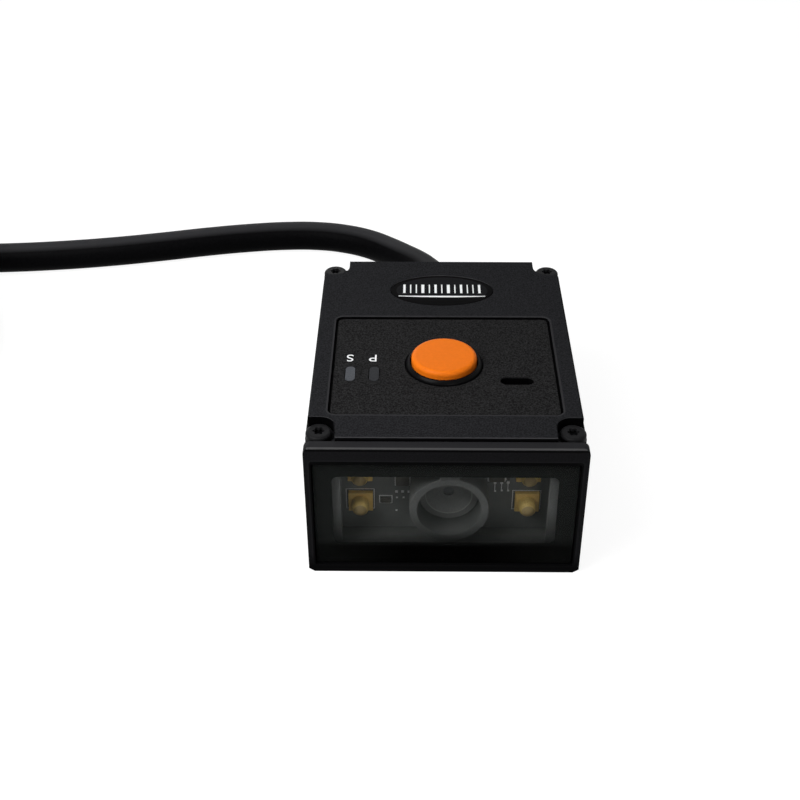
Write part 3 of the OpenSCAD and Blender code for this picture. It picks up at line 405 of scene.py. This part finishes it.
# Painted highlight along the front edge of the top
EDGE_PAINTED_HIGHLIGHT = (0.056, 0.056, 0.057)
EDGE_HIGHLIGHT_REACH = 0.36 * MM
EDGE_HIGHLIGHT_DROP = 0.08 * MM
EDGE_BLEND = 0.08 * MM
EDGE_LINE = 0.36 * MM
WINDOW_LINE_SIDE = 0.42 * MM
WINDOW_LINE_TOP = 0.75 * MM
WINDOW_CORNER = 0.5 * MM
WINDOW_DEPTH = 1.6 * MM
WINDOW_RIM = 0.25 * MM
# Painted highlight on the rim around the window's painted shadow line
WINDOW_RIM_PAINTED_HIGHLIGHT = (0.0115, 0.0115, 0.0125)
COAT_GREY = (0.044, 0.046, 0.044)
# Painted light on the coat's upward faces
COAT_FLOOR_PAINTED_LIGHT = (0.105, 0.109, 0.105)
COAT_BLEND = 0.01 * MM
INSIDE_MIDDLE = mm(0, 0, 12.6)
INSIDE_HALF = mm(19.3, 25.2, 10.45)


def housing_edge(tree):
    """A painted highlight along the front edge of the top, and a painted shadow line under it."""
    low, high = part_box("housing")
    front = -low[1]
    top = high[2]
    ahead = along(tree, AHEAD)
    height = along(tree, UP)
    at_edge = above(tree, ahead, front - EDGE_HIGHLIGHT_REACH, EDGE_BLEND)
    at_top = above(tree, height, top - EDGE_HIGHLIGHT_DROP, EDGE_BLEND)
    # Painted highlight on the front edge
    recolour(tree, times(tree, at_edge, at_top), EDGE_PAINTED_HIGHLIGHT)
    # Painted shadow line under the front edge
    under = below(tree, height, top - EDGE_HIGHLIGHT_DROP, EDGE_BLEND)
    not_far = above(tree, height, top - EDGE_HIGHLIGHT_DROP - EDGE_LINE, EDGE_BLEND)
    line = times(tree, times(tree, under, not_far), above(tree, ahead, front - EDGE_BLEND, EDGE_BLEND))
    recolour(tree, line, PAINTED_SHADE_BLACK)


def window_line(tree):
    """A painted shadow line around the window, with a painted highlight along its rim."""
    margin = Vector((WINDOW_LINE_SIDE, 0, WINDOW_LINE_TOP / 2))
    middle = middle_of("front_window") + Vector((0, 0, WINDOW_LINE_TOP / 2))
    around = past_core(tree, middle, half_of("front_window") + margin, WINDOW_CORNER, FRONT_PLANE)
    front = -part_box("housing")[0][1]
    at_front = above(tree, along(tree, AHEAD), front - WINDOW_DEPTH, EDGE_BLEND)
    rim = below(tree, around, WINDOW_CORNER + WINDOW_RIM, EDGE_BLEND)
    # Painted highlight on the rim
    recolour(tree, times(tree, rim, at_front), WINDOW_RIM_PAINTED_HIGHLIGHT)
    # Painted shadow line around the window
    line = below(tree, around, WINDOW_CORNER, EDGE_BLEND)
    recolour(tree, times(tree, line, at_front), PAINTED_SHADE_BLACK)


def housing_finish():
    """Painted light on the housing's top, its painted highlight and shadow lines, painted shade that makes it
    blackest near the floor, and the shielding coat on its inside, with painted light on the coat's upward
    faces.
    """
    material = moulded("housing_plastic", HOUSING_BLACK, roughness=0.45, specular=0.015)
    tree = material.node_tree
    height = along(tree, UP)
    upwards = above(tree, facing(tree, UP), TOP_LIGHT_FACING, TOP_LIGHT_BLEND)
    # Painted light on the upward faces near the top
    recolour(tree, times(tree, upwards, above(tree, height, NEAR_TOP, NEAR_TOP_BLEND)), TOP_PAINTED_LIGHT)
    housing_edge(tree)
    window_line(tree)
    # Painted shade: darker towards the floor
    recolour(tree, below(tree, height, LOW_TO, LOW_TO - LOW_FROM), LOW_PAINTED_SHADE)
    axes = tree.nodes.new("ShaderNodeSeparateXYZ")
    tree.links.new(past_box(tree, INSIDE_MIDDLE, INSIDE_HALF), axes.inputs["Vector"])
    outside = larger(tree, larger(tree, axes.outputs["X"], axes.outputs["Y"]), axes.outputs["Z"])
    inside = below(tree, outside, 0, COAT_BLEND)
    recolour(tree, inside, COAT_GREY)
    # Painted light on the upward faces of the inside
    recolour(tree, times(tree, inside, upwards), COAT_FLOOR_PAINTED_LIGHT)
    return material


# Lid: painted shade in the groove around the panel's film, with a painted highlight on the groove's rim, and
# painted shade on its front faces under a painted highlight along their top edge
COVER_BLACK = (0.0145, 0.0148, 0.0162)
GROOVE_REACH = 0.45 * MM
GROOVE_CORNER = 1.3 * MM
GROOVE_RIM = 0.25 * MM
GROOVE_BLEND = 0.05 * MM
# Painted highlight on the rim of the groove
GROOVE_RIM_PAINTED_HIGHLIGHT = (0.028, 0.028, 0.03)
# Painted highlight along the top edge of the lid's front faces
COVER_EDGE_PAINTED_HIGHLIGHT = (0.038, 0.038, 0.04)
COVER_EDGE = 0.1 * MM
FRONT_FACING = 0.6
FRONT_BLEND = 0.2


def cover_finish():
    material = moulded("cover_plastic", COVER_BLACK, roughness=0.52, mottle=0.45, specular=0.003)
    tree = material.node_tree
    height = along(tree, UP)
    half = half_of("panel_overlay") + Vector((GROOVE_REACH, GROOVE_REACH, 0))
    around = past_core(tree, middle_of("panel_overlay"), half, GROOVE_CORNER, TOP_PLANE)
    # Painted highlight on the rim of the groove
    recolour(tree, below(tree, around, GROOVE_CORNER + GROOVE_RIM, GROOVE_BLEND), GROOVE_RIM_PAINTED_HIGHLIGHT)
    # Painted shade on the faces turned to the front, with a painted highlight along their top edge
    ahead = above(tree, facing(tree, AHEAD), FRONT_FACING, FRONT_BLEND)
    recolour(tree, ahead, PAINTED_SHADE_BLACK)
    at_edge = above(tree, height, top_of("top_cover") - COVER_EDGE, GROOVE_BLEND)
    recolour(tree, times(tree, ahead, at_edge), COVER_EDGE_PAINTED_HIGHLIGHT)
    # Painted shade in the groove
    in_groove = below(tree, around, GROOVE_CORNER, GROOVE_BLEND)
    under_film = below(tree, height, top_of("panel_overlay") + GROOVE_BLEND, GROOVE_BLEND)
    recolour(tree, times(tree, in_groove, under_film), PAINTED_SHADE_BLACK)
    return material


# Screws of the lid: painted shade, black in the drive and on the head below it
SCREW_BLACK = (0.008, 0.008, 0.0086)
SCREW_DRIVE_AT = 0.45 * MM


def screw_finish():
    material = moulded("screw_black", SCREW_BLACK, roughness=0.42, grain_mm=0.5, specular=DULL)
    tree = material.node_tree
    # Painted shade: black below a height near the top of the head
    drive = top_of("cover_screws") - SCREW_DRIVE_AT
    recolour(tree, below(tree, along(tree, UP), drive, GROOVE_BLEND), PAINTED_SHADE_BLACK)
    return material


# Badge: gloss, with painted shade: a black edge around its face, and black under the printed line
BADGE_GLOSS = (0.0065, 0.0068, 0.0076)
# Black for painted shade on the badge
BADGE_PAINTED_SHADE = (0.0008, 0.0008, 0.001)
BADGE_FACE = 0.9
BADGE_FACE_BLEND = 0.02
BADGE_LOWER = -0.3
BADGE_LOWER_BLEND = 0.3


def badge_finish():
    material = moulded("badge_gloss", BADGE_GLOSS, roughness=0.2, depth_mm=0.001, specular=0.01)
    tree = material.node_tree
    half = half_of("badge_plate")
    apart = to_vector(tree, "SUBTRACT", place_of(tree), middle_of("badge_plate"))
    shares = to_vector(tree, "MULTIPLY", apart, (1 / half.x, 1 / half.y, 0))
    outwards = to_value(tree, "LENGTH", shares)
    # Painted shade around the edge of the face
    recolour(tree, above(tree, outwards, BADGE_FACE, BADGE_FACE_BLEND), BADGE_PAINTED_SHADE)
    rearwards = to_value(tree, "DOT_PRODUCT", shares, REARWARDS)
    # Painted shade on the part of the face towards the front
    recolour(tree, below(tree, rearwards, BADGE_LOWER, BADGE_LOWER_BLEND), BADGE_PAINTED_SHADE)
    return material


# Window pane: clear from the front and glossy from the side, with a faint painted reflection above, and
# painted shade below, where it is also less see-through
# Painted reflection as a faint haze, and painted shade below it
PAINTED_REFLECTION = (0.038, 0.042, 0.04)
SIDE_PAINTED_REFLECTION = (0.0055, 0.0058, 0.0056)
NO_PAINTED_REFLECTION = (0.0014, 0.0014, 0.0014)
REFLECTION_FROM = 4.8 * MM
REFLECTION_TO = 7.6 * MM
SIDE_FROM = 6 * MM
SIDE_TO = 17 * MM
CLEAR_ALPHA = 0.18
LOW_ALPHA = 0.8
FADE_FROM = 4.2 * MM
FADE_TO = 7.4 * MM
PANE_GLOSS = 0.5
GLOSS_FROM = 0.45
GLOSS_TO = 0.9
PANE_ROUGH = 0.04
PANE_SMEARED = 0.1


def pane():
    material, shader = new_material("window_smoke", PAINTED_REFLECTION, PANE_ROUGH)
    tree = material.node_tree
    height = along(tree, UP)
    sideways = to_value(tree, "LENGTH", to_vector(tree, "MULTIPLY", place_of(tree), SIDEWAYS))
    # Painted shade low on the pane, with a faint painted reflection towards its sides
    low_color = shade(tree, mapped(tree, sideways, SIDE_FROM, SIDE_TO), NO_PAINTED_REFLECTION, SIDE_PAINTED_REFLECTION)
    tree.links.new(low_color, shader.inputs["Base Color"])
    # Painted reflection as a haze higher up
    recolour(tree, mapped(tree, height, REFLECTION_FROM, REFLECTION_TO), PAINTED_REFLECTION)
    # Painted shade: the pane is less see-through lower down
    alpha = mapped(tree, height, FADE_FROM, FADE_TO, LOW_ALPHA, CLEAR_ALPHA)
    tree.links.new(alpha, shader.inputs["Alpha"])
    slant = tree.nodes.new("ShaderNodeLayerWeight").outputs["Facing"]
    gloss = mapped(tree, slant, GLOSS_FROM, GLOSS_TO, 0, PANE_GLOSS)
    tree.links.new(gloss, shader.inputs["Specular IOR Level"])
    smears = noise(tree, SMEAR_MM, detail=4)
    tree.links.new(from_noise(tree, smears, PANE_ROUGH, PANE_SMEARED), shader.inputs["Roughness"])
    return material


# Camera behind the window: a grey hood with painted shade in its bore and towards its bottom, and a barrel
# with a painted highlight as a bright ring around its axis
HOOD_GREY = (0.175, 0.181, 0.177)
# Painted shade in the bore and on the lower part of the hood
HOOD_BORE_PAINTED_SHADE = (0.12, 0.124, 0.121)
HOOD_SHADE = (0.08, 0.083, 0.081)
HOOD_SHADE_FROM = 6.5 * MM
HOOD_SHADE_TO = 11 * MM
BORE_R = 4.9 * MM
BARREL_GREY = (0.18, 0.185, 0.18)
# Painted highlight as a bright ring
RING_PAINTED_HIGHLIGHT = (0.28, 0.29, 0.28)
RING_INNER_R = 3.5 * MM
RING_OUTER_R = 3.66 * MM
RADIUS_BLEND = 0.06 * MM


def from_axis(tree):
    """Distance from the lens axis."""
    apart = to_vector(tree, "SUBTRACT", place_of(tree), middle_of("lens_barrel"))
    return to_value(tree, "LENGTH", to_vector(tree, "MULTIPLY", apart, FRONT_PLANE))


def hood_finish():
    material = moulded("hood_plastic", HOOD_GREY, roughness=0.6, mottle=0.06, specular=DULL)
    tree = material.node_tree
    # Painted shade in the bore
    recolour(tree, below(tree, from_axis(tree), BORE_R, RADIUS_BLEND), HOOD_BORE_PAINTED_SHADE)
    # Painted shade towards the bottom
    recolour(tree, mapped(tree, along(tree, UP), HOOD_SHADE_FROM, HOOD_SHADE_TO, 1, 0), HOOD_SHADE)
    return material


def barrel_finish():
    material = moulded("barrel_metal", BARREL_GREY, roughness=0.4, mottle=0.06, specular=0.1)
    tree = material.node_tree
    radius = from_axis(tree)
    outwards = above(tree, radius, RING_INNER_R, RADIUS_BLEND)
    inwards = below(tree, radius, RING_OUTER_R, RADIUS_BLEND)
    # Painted highlight on a ring around the axis
    recolour(tree, times(tree, outwards, inwards), RING_PAINTED_HIGHLIGHT)
    return material


# Lamps: domes with a duller face inside a bright ring
DOME_RING = (0.95, 0.64, 0.21)
DOME_FACE = (0.43, 0.32, 0.145)
DOME_R = 1.35 * MM
DOME_FACE_R = 1.05 * MM
DOME_BLEND = 0.12 * MM


def dome_finish():
    material = moulded("lamp_amber", DOME_RING, roughness=0.4, depth_mm=0.003, specular=0.2)
    tree = material.node_tree
    to_axes = half_of("lamp_domes") - Vector((DOME_R, 0, DOME_R))
    apart = past_box(tree, middle_of("lamp_domes"), to_axes)
    radius = to_value(tree, "LENGTH", to_vector(tree, "MULTIPLY", apart, FRONT_PLANE))
    recolour(tree, below(tree, radius, DOME_FACE_R, DOME_BLEND), DOME_FACE)
    return material


# Cable: black, with a painted highlight along its top, weaker near its exit
JACKET_BLACK = (0.002, 0.002, 0.0023)
# Painted highlight along the cable's top
JACKET_TOP_PAINTED_HIGHLIGHT = (0.03, 0.03, 0.032)
JACKET_HIGHLIGHT_FACING = 0.93
JACKET_HIGHLIGHT_BLEND = 0.21
JACKET_DIM_HIGHLIGHT_TO = 2 * MM
JACKET_FULL_HIGHLIGHT_FROM = 10 * MM
JACKET_EXIT_SHARE = 0.4


def jacket_finish():
    material = moulded("cable_jacket", JACKET_BLACK, roughness=0.45, grain_mm=0.5, depth_mm=0.01,
                       specular=0.012)
    tree = material.node_tree
    # Painted highlight on upward faces, weaker near the exit
    upwards = above(tree, facing(tree, UP), JACKET_HIGHLIGHT_FACING, JACKET_HIGHLIGHT_BLEND)
    from_exit = mapped(tree, along(tree, LEFTWARDS), JACKET_DIM_HIGHLIGHT_TO, JACKET_FULL_HIGHLIGHT_FROM, JACKET_EXIT_SHARE, 1)
    recolour(tree, times(tree, upwards, from_exit), JACKET_TOP_PAINTED_HIGHLIGHT)
    return material


# The finish of each CAD piece
# The front lens is pale grey as a painted reflection
LENS_PAINTED_REFLECTION = (0.16, 0.166, 0.172)
LENS_DARK = (0.03, 0.032, 0.036)
FINISHES = {
    "housing": housing_finish(),
    "top_cover": cover_finish(),
    "panel_overlay": moulded("overlay_film", (0.0145, 0.0145, 0.0148), roughness=0.55, grain_mm=0.23,
                             depth_mm=0.03, mottle=0.7, specular=0.003),
    "badge_plate": badge_finish(),
    "button_collar": moulded("collar_plastic", (0.002, 0.002, 0.0022), roughness=0.3, depth_mm=0.003,
                             specular=DULL),
    "trigger_button": moulded("button_orange", (0.7, 0.15, 0.0065), roughness=0.42, grain_mm=0.4,
                              depth_mm=0.004, mottle=0.03, specular=0.06),
    "cover_screws": screw_finish(),
    "status_light_pipe": moulded("status_pipe", (0.058, 0.062, 0.07), roughness=0.35, depth_mm=0.004,
                                 specular=DULL),
    "power_light_pipe": moulded("power_pipe", (0.018, 0.019, 0.0215), roughness=0.35, depth_mm=0.004,
                                specular=DULL),
    "front_window": pane(),
    "window_gasket": moulded("gasket_black", (0.001, 0.0014, 0.0012), roughness=0.4, depth_mm=0.0001,
                             specular=0.03),
    "mount_inserts": metal("insert_brass", (0.6, 0.42, 0.16)),
    "engine_frame": moulded("frame_plastic", (0.02, 0.02, 0.02), specular=DULL),
    "lens_hood": hood_finish(),
    "lens_barrel": barrel_finish(),
    "front_lens": clear("front_lens_glass", LENS_PAINTED_REFLECTION, alpha=0.9, roughness=0.05),
    "rear_lens": clear("rear_lens_glass", LENS_DARK, alpha=0.7, roughness=0.05),
    "image_sensor": moulded("sensor_glass", (0.03, 0.05, 0.04), roughness=0.2),
    "lamp_bases": moulded("lamp_gold", (0.95, 0.64, 0.21), roughness=0.42, mottle=0.12, specular=0.3),
    "lamp_domes": dome_finish(),
    "light_board_parts": moulded("board_parts", (0.11, 0.104, 0.09), roughness=0.5, specular=0.1),
    "main_board_parts": moulded("main_parts", (0.12, 0.09, 0.06), roughness=0.5),
    "panel_lamps": moulded("panel_lamp", (0.7, 0.7, 0.62), roughness=0.3),
    "button_switch": moulded("switch_plastic", (0.03, 0.03, 0.03)),
    "buzzer": moulded("buzzer_plastic", (0.003, 0.003, 0.003), specular=0.0),
    "cable_socket": moulded("socket_plastic", (0.68, 0.65, 0.55)),
    "cable_plug": moulded("plug_housing", (0.7, 0.67, 0.58)),
    "cable_wires": moulded("wire_sleeve", (0.3, 0.03, 0.02), roughness=0.35),
    "strain_relief": moulded("relief_rubber", (0.006, 0.006, 0.0065), roughness=0.5, grain_mm=0.4,
                             specular=DULL),
    "cable_tie": moulded("tie_fabric", (0.01, 0.01, 0.011), roughness=0.85, grain_mm=0.6, depth_mm=0.15,
                         specular=DULL),
    "plug_body": moulded("plug_plastic", (0.007, 0.007, 0.0078), roughness=0.45, specular=DULL),
    "plug_shell": metal("plug_steel", (0.6, 0.6, 0.62), roughness=0.28, stretch=(1, 0.05, 1)),
    "plug_tongue": moulded("plug_insulator", (0.8, 0.8, 0.78), roughness=0.4),
}
BOARDS = moulded("board_black", (0.19, 0.198, 0.193), roughness=0.4, grain_mm=0.8, depth_mm=0.001,
                 mottle=0.03, specular=0.1)
SCREWS = metal("screw_steel", (0.5, 0.5, 0.5))
RIBBONS = moulded("ribbon_film", (0.5, 0.24, 0.04), roughness=0.35)
CHIPS = moulded("chip_epoxy", (0.008, 0.008, 0.008), roughness=0.5)
for node in ("panel_board", "light_board", "sensor_board", "main_board"):
    FINISHES[node] = BOARDS
for node in ("panel_board_screws", "light_board_screws", "sensor_board_screws", "main_board_screws"):
    FINISHES[node] = SCREWS
for node in ("panel_ribbon", "sensor_ribbon"):
    FINISHES[node] = RIBBONS
for node in ("processor", "memory_chip"):
    FINISHES[node] = CHIPS


def dress(piece, material):
    piece.data.materials.clear()
    piece.data.materials.append(material)


for node, material in FINISHES.items():
    dress(nodes[node], material)
dress(cable, jacket_finish())


# Edges as a mould leaves them: a small radius in place of a knife edge
EDGE_MM = {
    "housing": 0.28, "top_cover": 0.16, "panel_overlay": 0.06, "badge_plate": 0.1, "button_collar": 0.06,
    "cover_screws": 0.06, "front_window": 0.12, "lens_hood": 0.15, "lamp_bases": 0.1, "strain_relief": 0.2,
    "cable_tie": 0.25, "plug_body": 0.25, "plug_shell": 0.08, "light_board_parts": 0.06,
}
WELD_MM = 0.001
FLAT_ANGLE = math.radians(0.5)
SHARP_ANGLE = math.radians(40)
EDGE_SEGMENTS = 2
PANE_INSET_MM = 0.02


def soften(node, radius_mm):
    """Joins the triangles of flat faces, and rounds the sharp edges between faces."""
    piece = nodes[node]
    weld = piece.modifiers.new("weld", "WELD")
    weld.merge_threshold = WELD_MM * MM
    flat = piece.modifiers.new("flat", "DECIMATE")
    flat.decimate_type = "DISSOLVE"
    flat.angle_limit = FLAT_ANGLE
    edge = piece.modifiers.new("edge", "BEVEL")
    edge.width = radius_mm * MM
    edge.segments = EDGE_SEGMENTS
    edge.limit_method = "ANGLE"
    edge.angle_limit = SHARP_ANGLE
    normals = piece.modifiers.new("normals", "WEIGHTED_NORMAL")
    normals.keep_sharp = False


for node, radius in EDGE_MM.items():
    soften(node, radius)


def draw_in(node, distance_mm):
    """Draws a piece's faces in a little, so that none lies in the very plane of its neighbour's."""
    inset = nodes[node].modifiers.new("inset", "DISPLACE")
    inset.direction = "NORMAL"
    inset.mid_level = 0
    inset.strength = -distance_mm * MM


draw_in("front_window", PANE_INSET_MM)


# Small pieces: marks on the panel and badge, prints and pads on the light board, contacts of the plug
PANEL_TOP = top_of("panel_overlay")
BADGE_TOP = top_of("badge_plate")
BOARD_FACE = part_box("light_board")[0][1]
PRINT_T = 0.02 * MM


def add_piece(name, corners, faces, material):
    mesh = bpy.data.meshes.new(name)
    mesh.from_pydata(corners, [], faces)
    mesh.update()
    piece = bpy.data.objects.new(name, mesh)
    scene.collection.objects.link(piece)
    dress(piece, material)
    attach(piece, READER)
    return piece


BOX_FACES = ((0, 2, 3, 1), (4, 5, 7, 6), (0, 1, 5, 4), (2, 6, 7, 3), (0, 4, 6, 2), (1, 3, 7, 5))


def add_boxes(name, boxes, material):
    """One piece made of boxes, each given by its low and its high corner in metres."""
    corners = []
    faces = []
    for low, high in boxes:
        first = len(corners)
        ends = (low, high)
        corners += [(ends[i][0], ends[j][1], ends[k][2]) for i in (0, 1) for j in (0, 1) for k in (0, 1)]
        faces += [tuple(first + corner for corner in face) for face in BOX_FACES]
    return add_piece(name, corners, faces, material)


def on_top(x0, x1, y0, y1, z):
    return Vector((x0 * MM, y0 * MM, z)), Vector((x1 * MM, y1 * MM, z + PRINT_T))


def on_board(x0, x1, z0, z1, thick=PRINT_T):
    return Vector((x0 * MM, BOARD_FACE - thick, z0 * MM)), Vector((x1 * MM, BOARD_FACE, z1 * MM))


PRINT_WHITE = moulded("print_white", (0.78, 0.79, 0.8), roughness=0.5, depth_mm=0.002, mottle=0.05,
                      specular=0.1)
BOARD_WHITE = moulded("silkscreen", (0.92, 0.93, 0.92), roughness=0.6, depth_mm=0.002, mottle=0.1,
                      specular=0.1)
BADGE_SILVER = moulded("badge_silver", (0.8, 0.82, 0.82), roughness=0.35, depth_mm=0.002, mottle=0.05,
                       specular=0.2)
CONTACT_GOLD = metal("contact_gold", (0.75, 0.55, 0.2), roughness=0.3, stretch=(1, 0.05, 1))

# Function letters beside the two lights, which read from the rear of the reader
LETTER_H = 2.1
LETTER_CAP_SHARE = 0.77
LETTER_Y = -3.83
LETTERS = {"S": -14.84, "P": -11.16}


def add_letter(letter, x):
    curve = bpy.data.curves.new("letter", "FONT")
    curve.body = letter
    curve.align_x = "CENTER"
    curve.align_y = "CENTER"
    curve.size = LETTER_H / LETTER_CAP_SHARE * MM
    curve.extrude = PRINT_T / 2
    drawn = bpy.data.objects.new("letter", curve)
    scene.collection.objects.link(drawn)
    bpy.context.view_layer.update()
    mesh = bpy.data.meshes.new_from_object(drawn.evaluated_get(bpy.context.evaluated_depsgraph_get()))
    bpy.data.objects.remove(drawn)
    mesh.transform(Matrix.Translation((x * MM, LETTER_Y * MM, PANEL_TOP + PRINT_T / 2))
                   @ Matrix.Rotation(math.pi, 4, "Z"))
    piece = bpy.data.objects.new("letter_" + letter, mesh)
    scene.collection.objects.link(piece)
    dress(piece, PRINT_WHITE)
    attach(piece, READER)


for letter, x in LETTERS.items():
    add_letter(letter, x)

# Badge: a row of bars, and a thin curved line under it
BADGE_Y = middle_of("badge_plate").y / MM
BAR_WIDTHS = (0.4, 0.2, 0.2, 0.5, 0.2, 0.4, 0.2, 0.5, 0.2, 0.4, 0.2, 0.2, 0.4)
BAR_GAP = 0.77
BAR_HEIGHT = 2.8
BAR_MIDDLE_Y = 0.5
LINE_HALF_W = 7.4
LINE_T = 0.45
LINE_DROP = 1.9
LINE_RISE = 0.15
LINE_TAPER = 0.7
LINE_STEPS = 32
LINE_SIDES = 4


def badge_bars():
    x = -(sum(BAR_WIDTHS) + BAR_GAP * (len(BAR_WIDTHS) - 1)) / 2
    middle = BADGE_Y + BAR_MIDDLE_Y
    bars = []
    for width in BAR_WIDTHS:
        bars.append(on_top(x, x + width, middle - BAR_HEIGHT / 2, middle + BAR_HEIGHT / 2, BADGE_TOP))
        x += width + BAR_GAP
    return bars


def badge_line():
    """The curved line as a thin solid strip, narrower towards its ends."""
    low = BADGE_TOP
    high = BADGE_TOP + PRINT_T
    corners = []
    for step in range(LINE_STEPS + 1):
        share = 2 * step / LINE_STEPS - 1
        x = LINE_HALF_W * share * MM
        y = (BADGE_Y - LINE_DROP - LINE_RISE * (1 - share * share)) * MM
        half = LINE_T / 2 * (1 - LINE_TAPER * share * share) * MM
        corners += [(x, y - half, low), (x, y + half, low), (x, y + half, high), (x, y - half, high)]
    faces = [(3, 2, 1, 0), tuple(LINE_SIDES * LINE_STEPS + side for side in range(LINE_SIDES))]
    for step in range(LINE_STEPS):
        first = LINE_SIDES * step
        beyond = first + LINE_SIDES
        for side in range(LINE_SIDES):
            after = (side + 1) % LINE_SIDES
            faces.append((first + side, first + after, beyond + after, beyond + side))
    return corners, faces


add_boxes("badge_bars", badge_bars(), BADGE_SILVER)
add_piece("badge_line", *badge_line(), BADGE_SILVER)

# Light board: outlines around the lamps and parts, solder pads, and tracks between them
TRACK_W = 0.12
PAD = 0.42
VIA = 0.3
PADS = ((-7.34, 9.55), (-6.4, 9.56), (-5.41, 9.5), (7.85, 11.44), (8.88, 11.44), (9.86, 11.45), (9.58, 12.14))
VIAS = ((-7.27, 8.36), (-6.25, 8.37), (7.92, 9.75), (8.95, 9.86), (9.93, 9.86), (-7.36, 5.76))
OUTLINES = (
    (-10.05, -7.98, 7.2, 8.8), (-15.2, -10.75, 6.1, 10.1), (10.6, 15.05, 6.1, 9.95),
    (-7.6, -5.2, 10.7, 13.2), (6.7, 9.45, 11.65, 13.4),
)
TRACKS = ((7.85, 9.9, 11.3), (8.88, 10, 11.3), (9.86, 10, 11.3))


def outline_boxes(x0, x1, z0, z1):
    return [
        on_board(x0, x1, z0, z0 + TRACK_W), on_board(x0, x1, z1 - TRACK_W, z1),
        on_board(x0, x0 + TRACK_W, z0, z1), on_board(x1 - TRACK_W, x1, z0, z1),
    ]


def square_on_board(x, z, size):
    return on_board(x - size / 2, x + size / 2, z - size / 2, z + size / 2, thick=2 * PRINT_T)


prints = [box for outline in OUTLINES for box in outline_boxes(*outline)]
prints += [on_board(x - TRACK_W / 2, x + TRACK_W / 2, z0, z1) for x, z0, z1 in TRACKS]
add_boxes("board_print", prints, BOARD_WHITE)
pads = [square_on_board(x, z, PAD) for x, z in PADS] + [square_on_board(x, z, VIA) for x, z in VIAS]
add_boxes("board_pads", pads, BOARD_WHITE)

# Plug: four contacts on the face of its tongue
CONTACTS = 4
CONTACT_PITCH = 2.4
CONTACT_W = 1.2
CONTACT_FROM_END = 0.6


def plug_contacts():
    low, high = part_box("plug_tongue")
    middle = (low[0] + high[0]) / 2
    strips = []
    for number in range(CONTACTS):
        x = middle + (number - (CONTACTS - 1) / 2) * CONTACT_PITCH * MM
        strips.append((Vector((x - CONTACT_W / 2 * MM, low[1] + CONTACT_FROM_END * MM, high[2])),
                       Vector((x + CONTACT_W / 2 * MM, high[1] - CONTACT_FROM_END * MM, high[2] + PRINT_T))))
    return strips


add_boxes("plug_contacts", plug_contacts(), CONTACT_GOLD)


# Floor, lamps and world: lengths in metres, lamps in watts, the sun in watts per square metre
FLOOR_COLOR = (0.2, 0.2, 0.2)
FLOOR_GLOW = 0.9
FLOOR_SIZE = 6
KEY_PLACE = (-0.125, -0.085, 0.17)
KEY_POWER = 0.47
KEY_SIZE = 0.16
FILL_PLACE = (-0.05, -0.25, 0.5)
FILL_POWER = 0.4
FILL_SIZE = 0.3
FRONT_PLACE = (0.2, -0.55, 0.16)
FRONT_POWER = 0.4
FRONT_SIZE = 0.25
RIM_PLACE = (-0.08, 0.36, 0.15)
RIM_POWER = 0.12
RIM_SIZE = 0.12
SUN_FROM = (-0.35, -0.1, 1)
SUN_POWER = 0.5
SUN_ANGLE = math.radians(50)
WORLD_LIGHT = 0.15


def seen_directly(tree):
    """1 for rays that show the background: those of the camera, of gloss and of glass."""
    path = tree.nodes.new("ShaderNodeLightPath").outputs
    gloss = larger(tree, path["Is Camera Ray"], path["Is Glossy Ray"])
    return larger(tree, gloss, path["Is Transmission Ray"])


def add_floor():
    bpy.ops.mesh.primitive_plane_add(size=FLOOR_SIZE)
    floor = bpy.context.object
    floor.name = "floor"
    material, shader = new_material("floor_white", FLOOR_COLOR, roughness=0.9, specular=0.0)
    shader.inputs["Emission Color"].default_value = (1, 1, 1, 1)
    tree = material.node_tree
    glow = mapped(tree, seen_directly(tree), 0, 1, 0, FLOOR_GLOW)
    tree.links.new(glow, shader.inputs["Emission Strength"])
    dress(floor, material)


def aim(lamp, place):
    lamp.location = place
    lamp.rotation_euler = (-Vector(place)).to_track_quat("-Z", "Y").to_euler()
    scene.collection.objects.link(lamp)


def add_lamp(name, place, power, size):
    data = bpy.data.lights.new(name, "AREA")
    data.energy = power
    data.shape = "DISK"
    data.size = size
    aim(bpy.data.objects.new(name, data), place)


def add_sun():
    data = bpy.data.lights.new("sun", "SUN")
    data.energy = SUN_POWER
    data.angle = SUN_ANGLE
    aim(bpy.data.objects.new("sun", data), SUN_FROM)


def add_world():
    world = bpy.data.worlds.new("studio")
    world.use_nodes = True
    scene.world = world
    tree = world.node_tree
    background = tree.nodes["Background"]
    background.inputs["Color"].default_value = (1, 1, 1, 1)
    strength = mapped(tree, seen_directly(tree), 0, 1, WORLD_LIGHT, 1)
    tree.links.new(strength, background.inputs["Strength"])


add_floor()
add_lamp("key", KEY_PLACE, KEY_POWER, KEY_SIZE)
add_lamp("fill", FILL_PLACE, FILL_POWER, FILL_SIZE)
add_lamp("front", FRONT_PLACE, FRONT_POWER, FRONT_SIZE)
add_lamp("rim", RIM_PLACE, RIM_POWER, RIM_SIZE)
add_sun()
add_world()
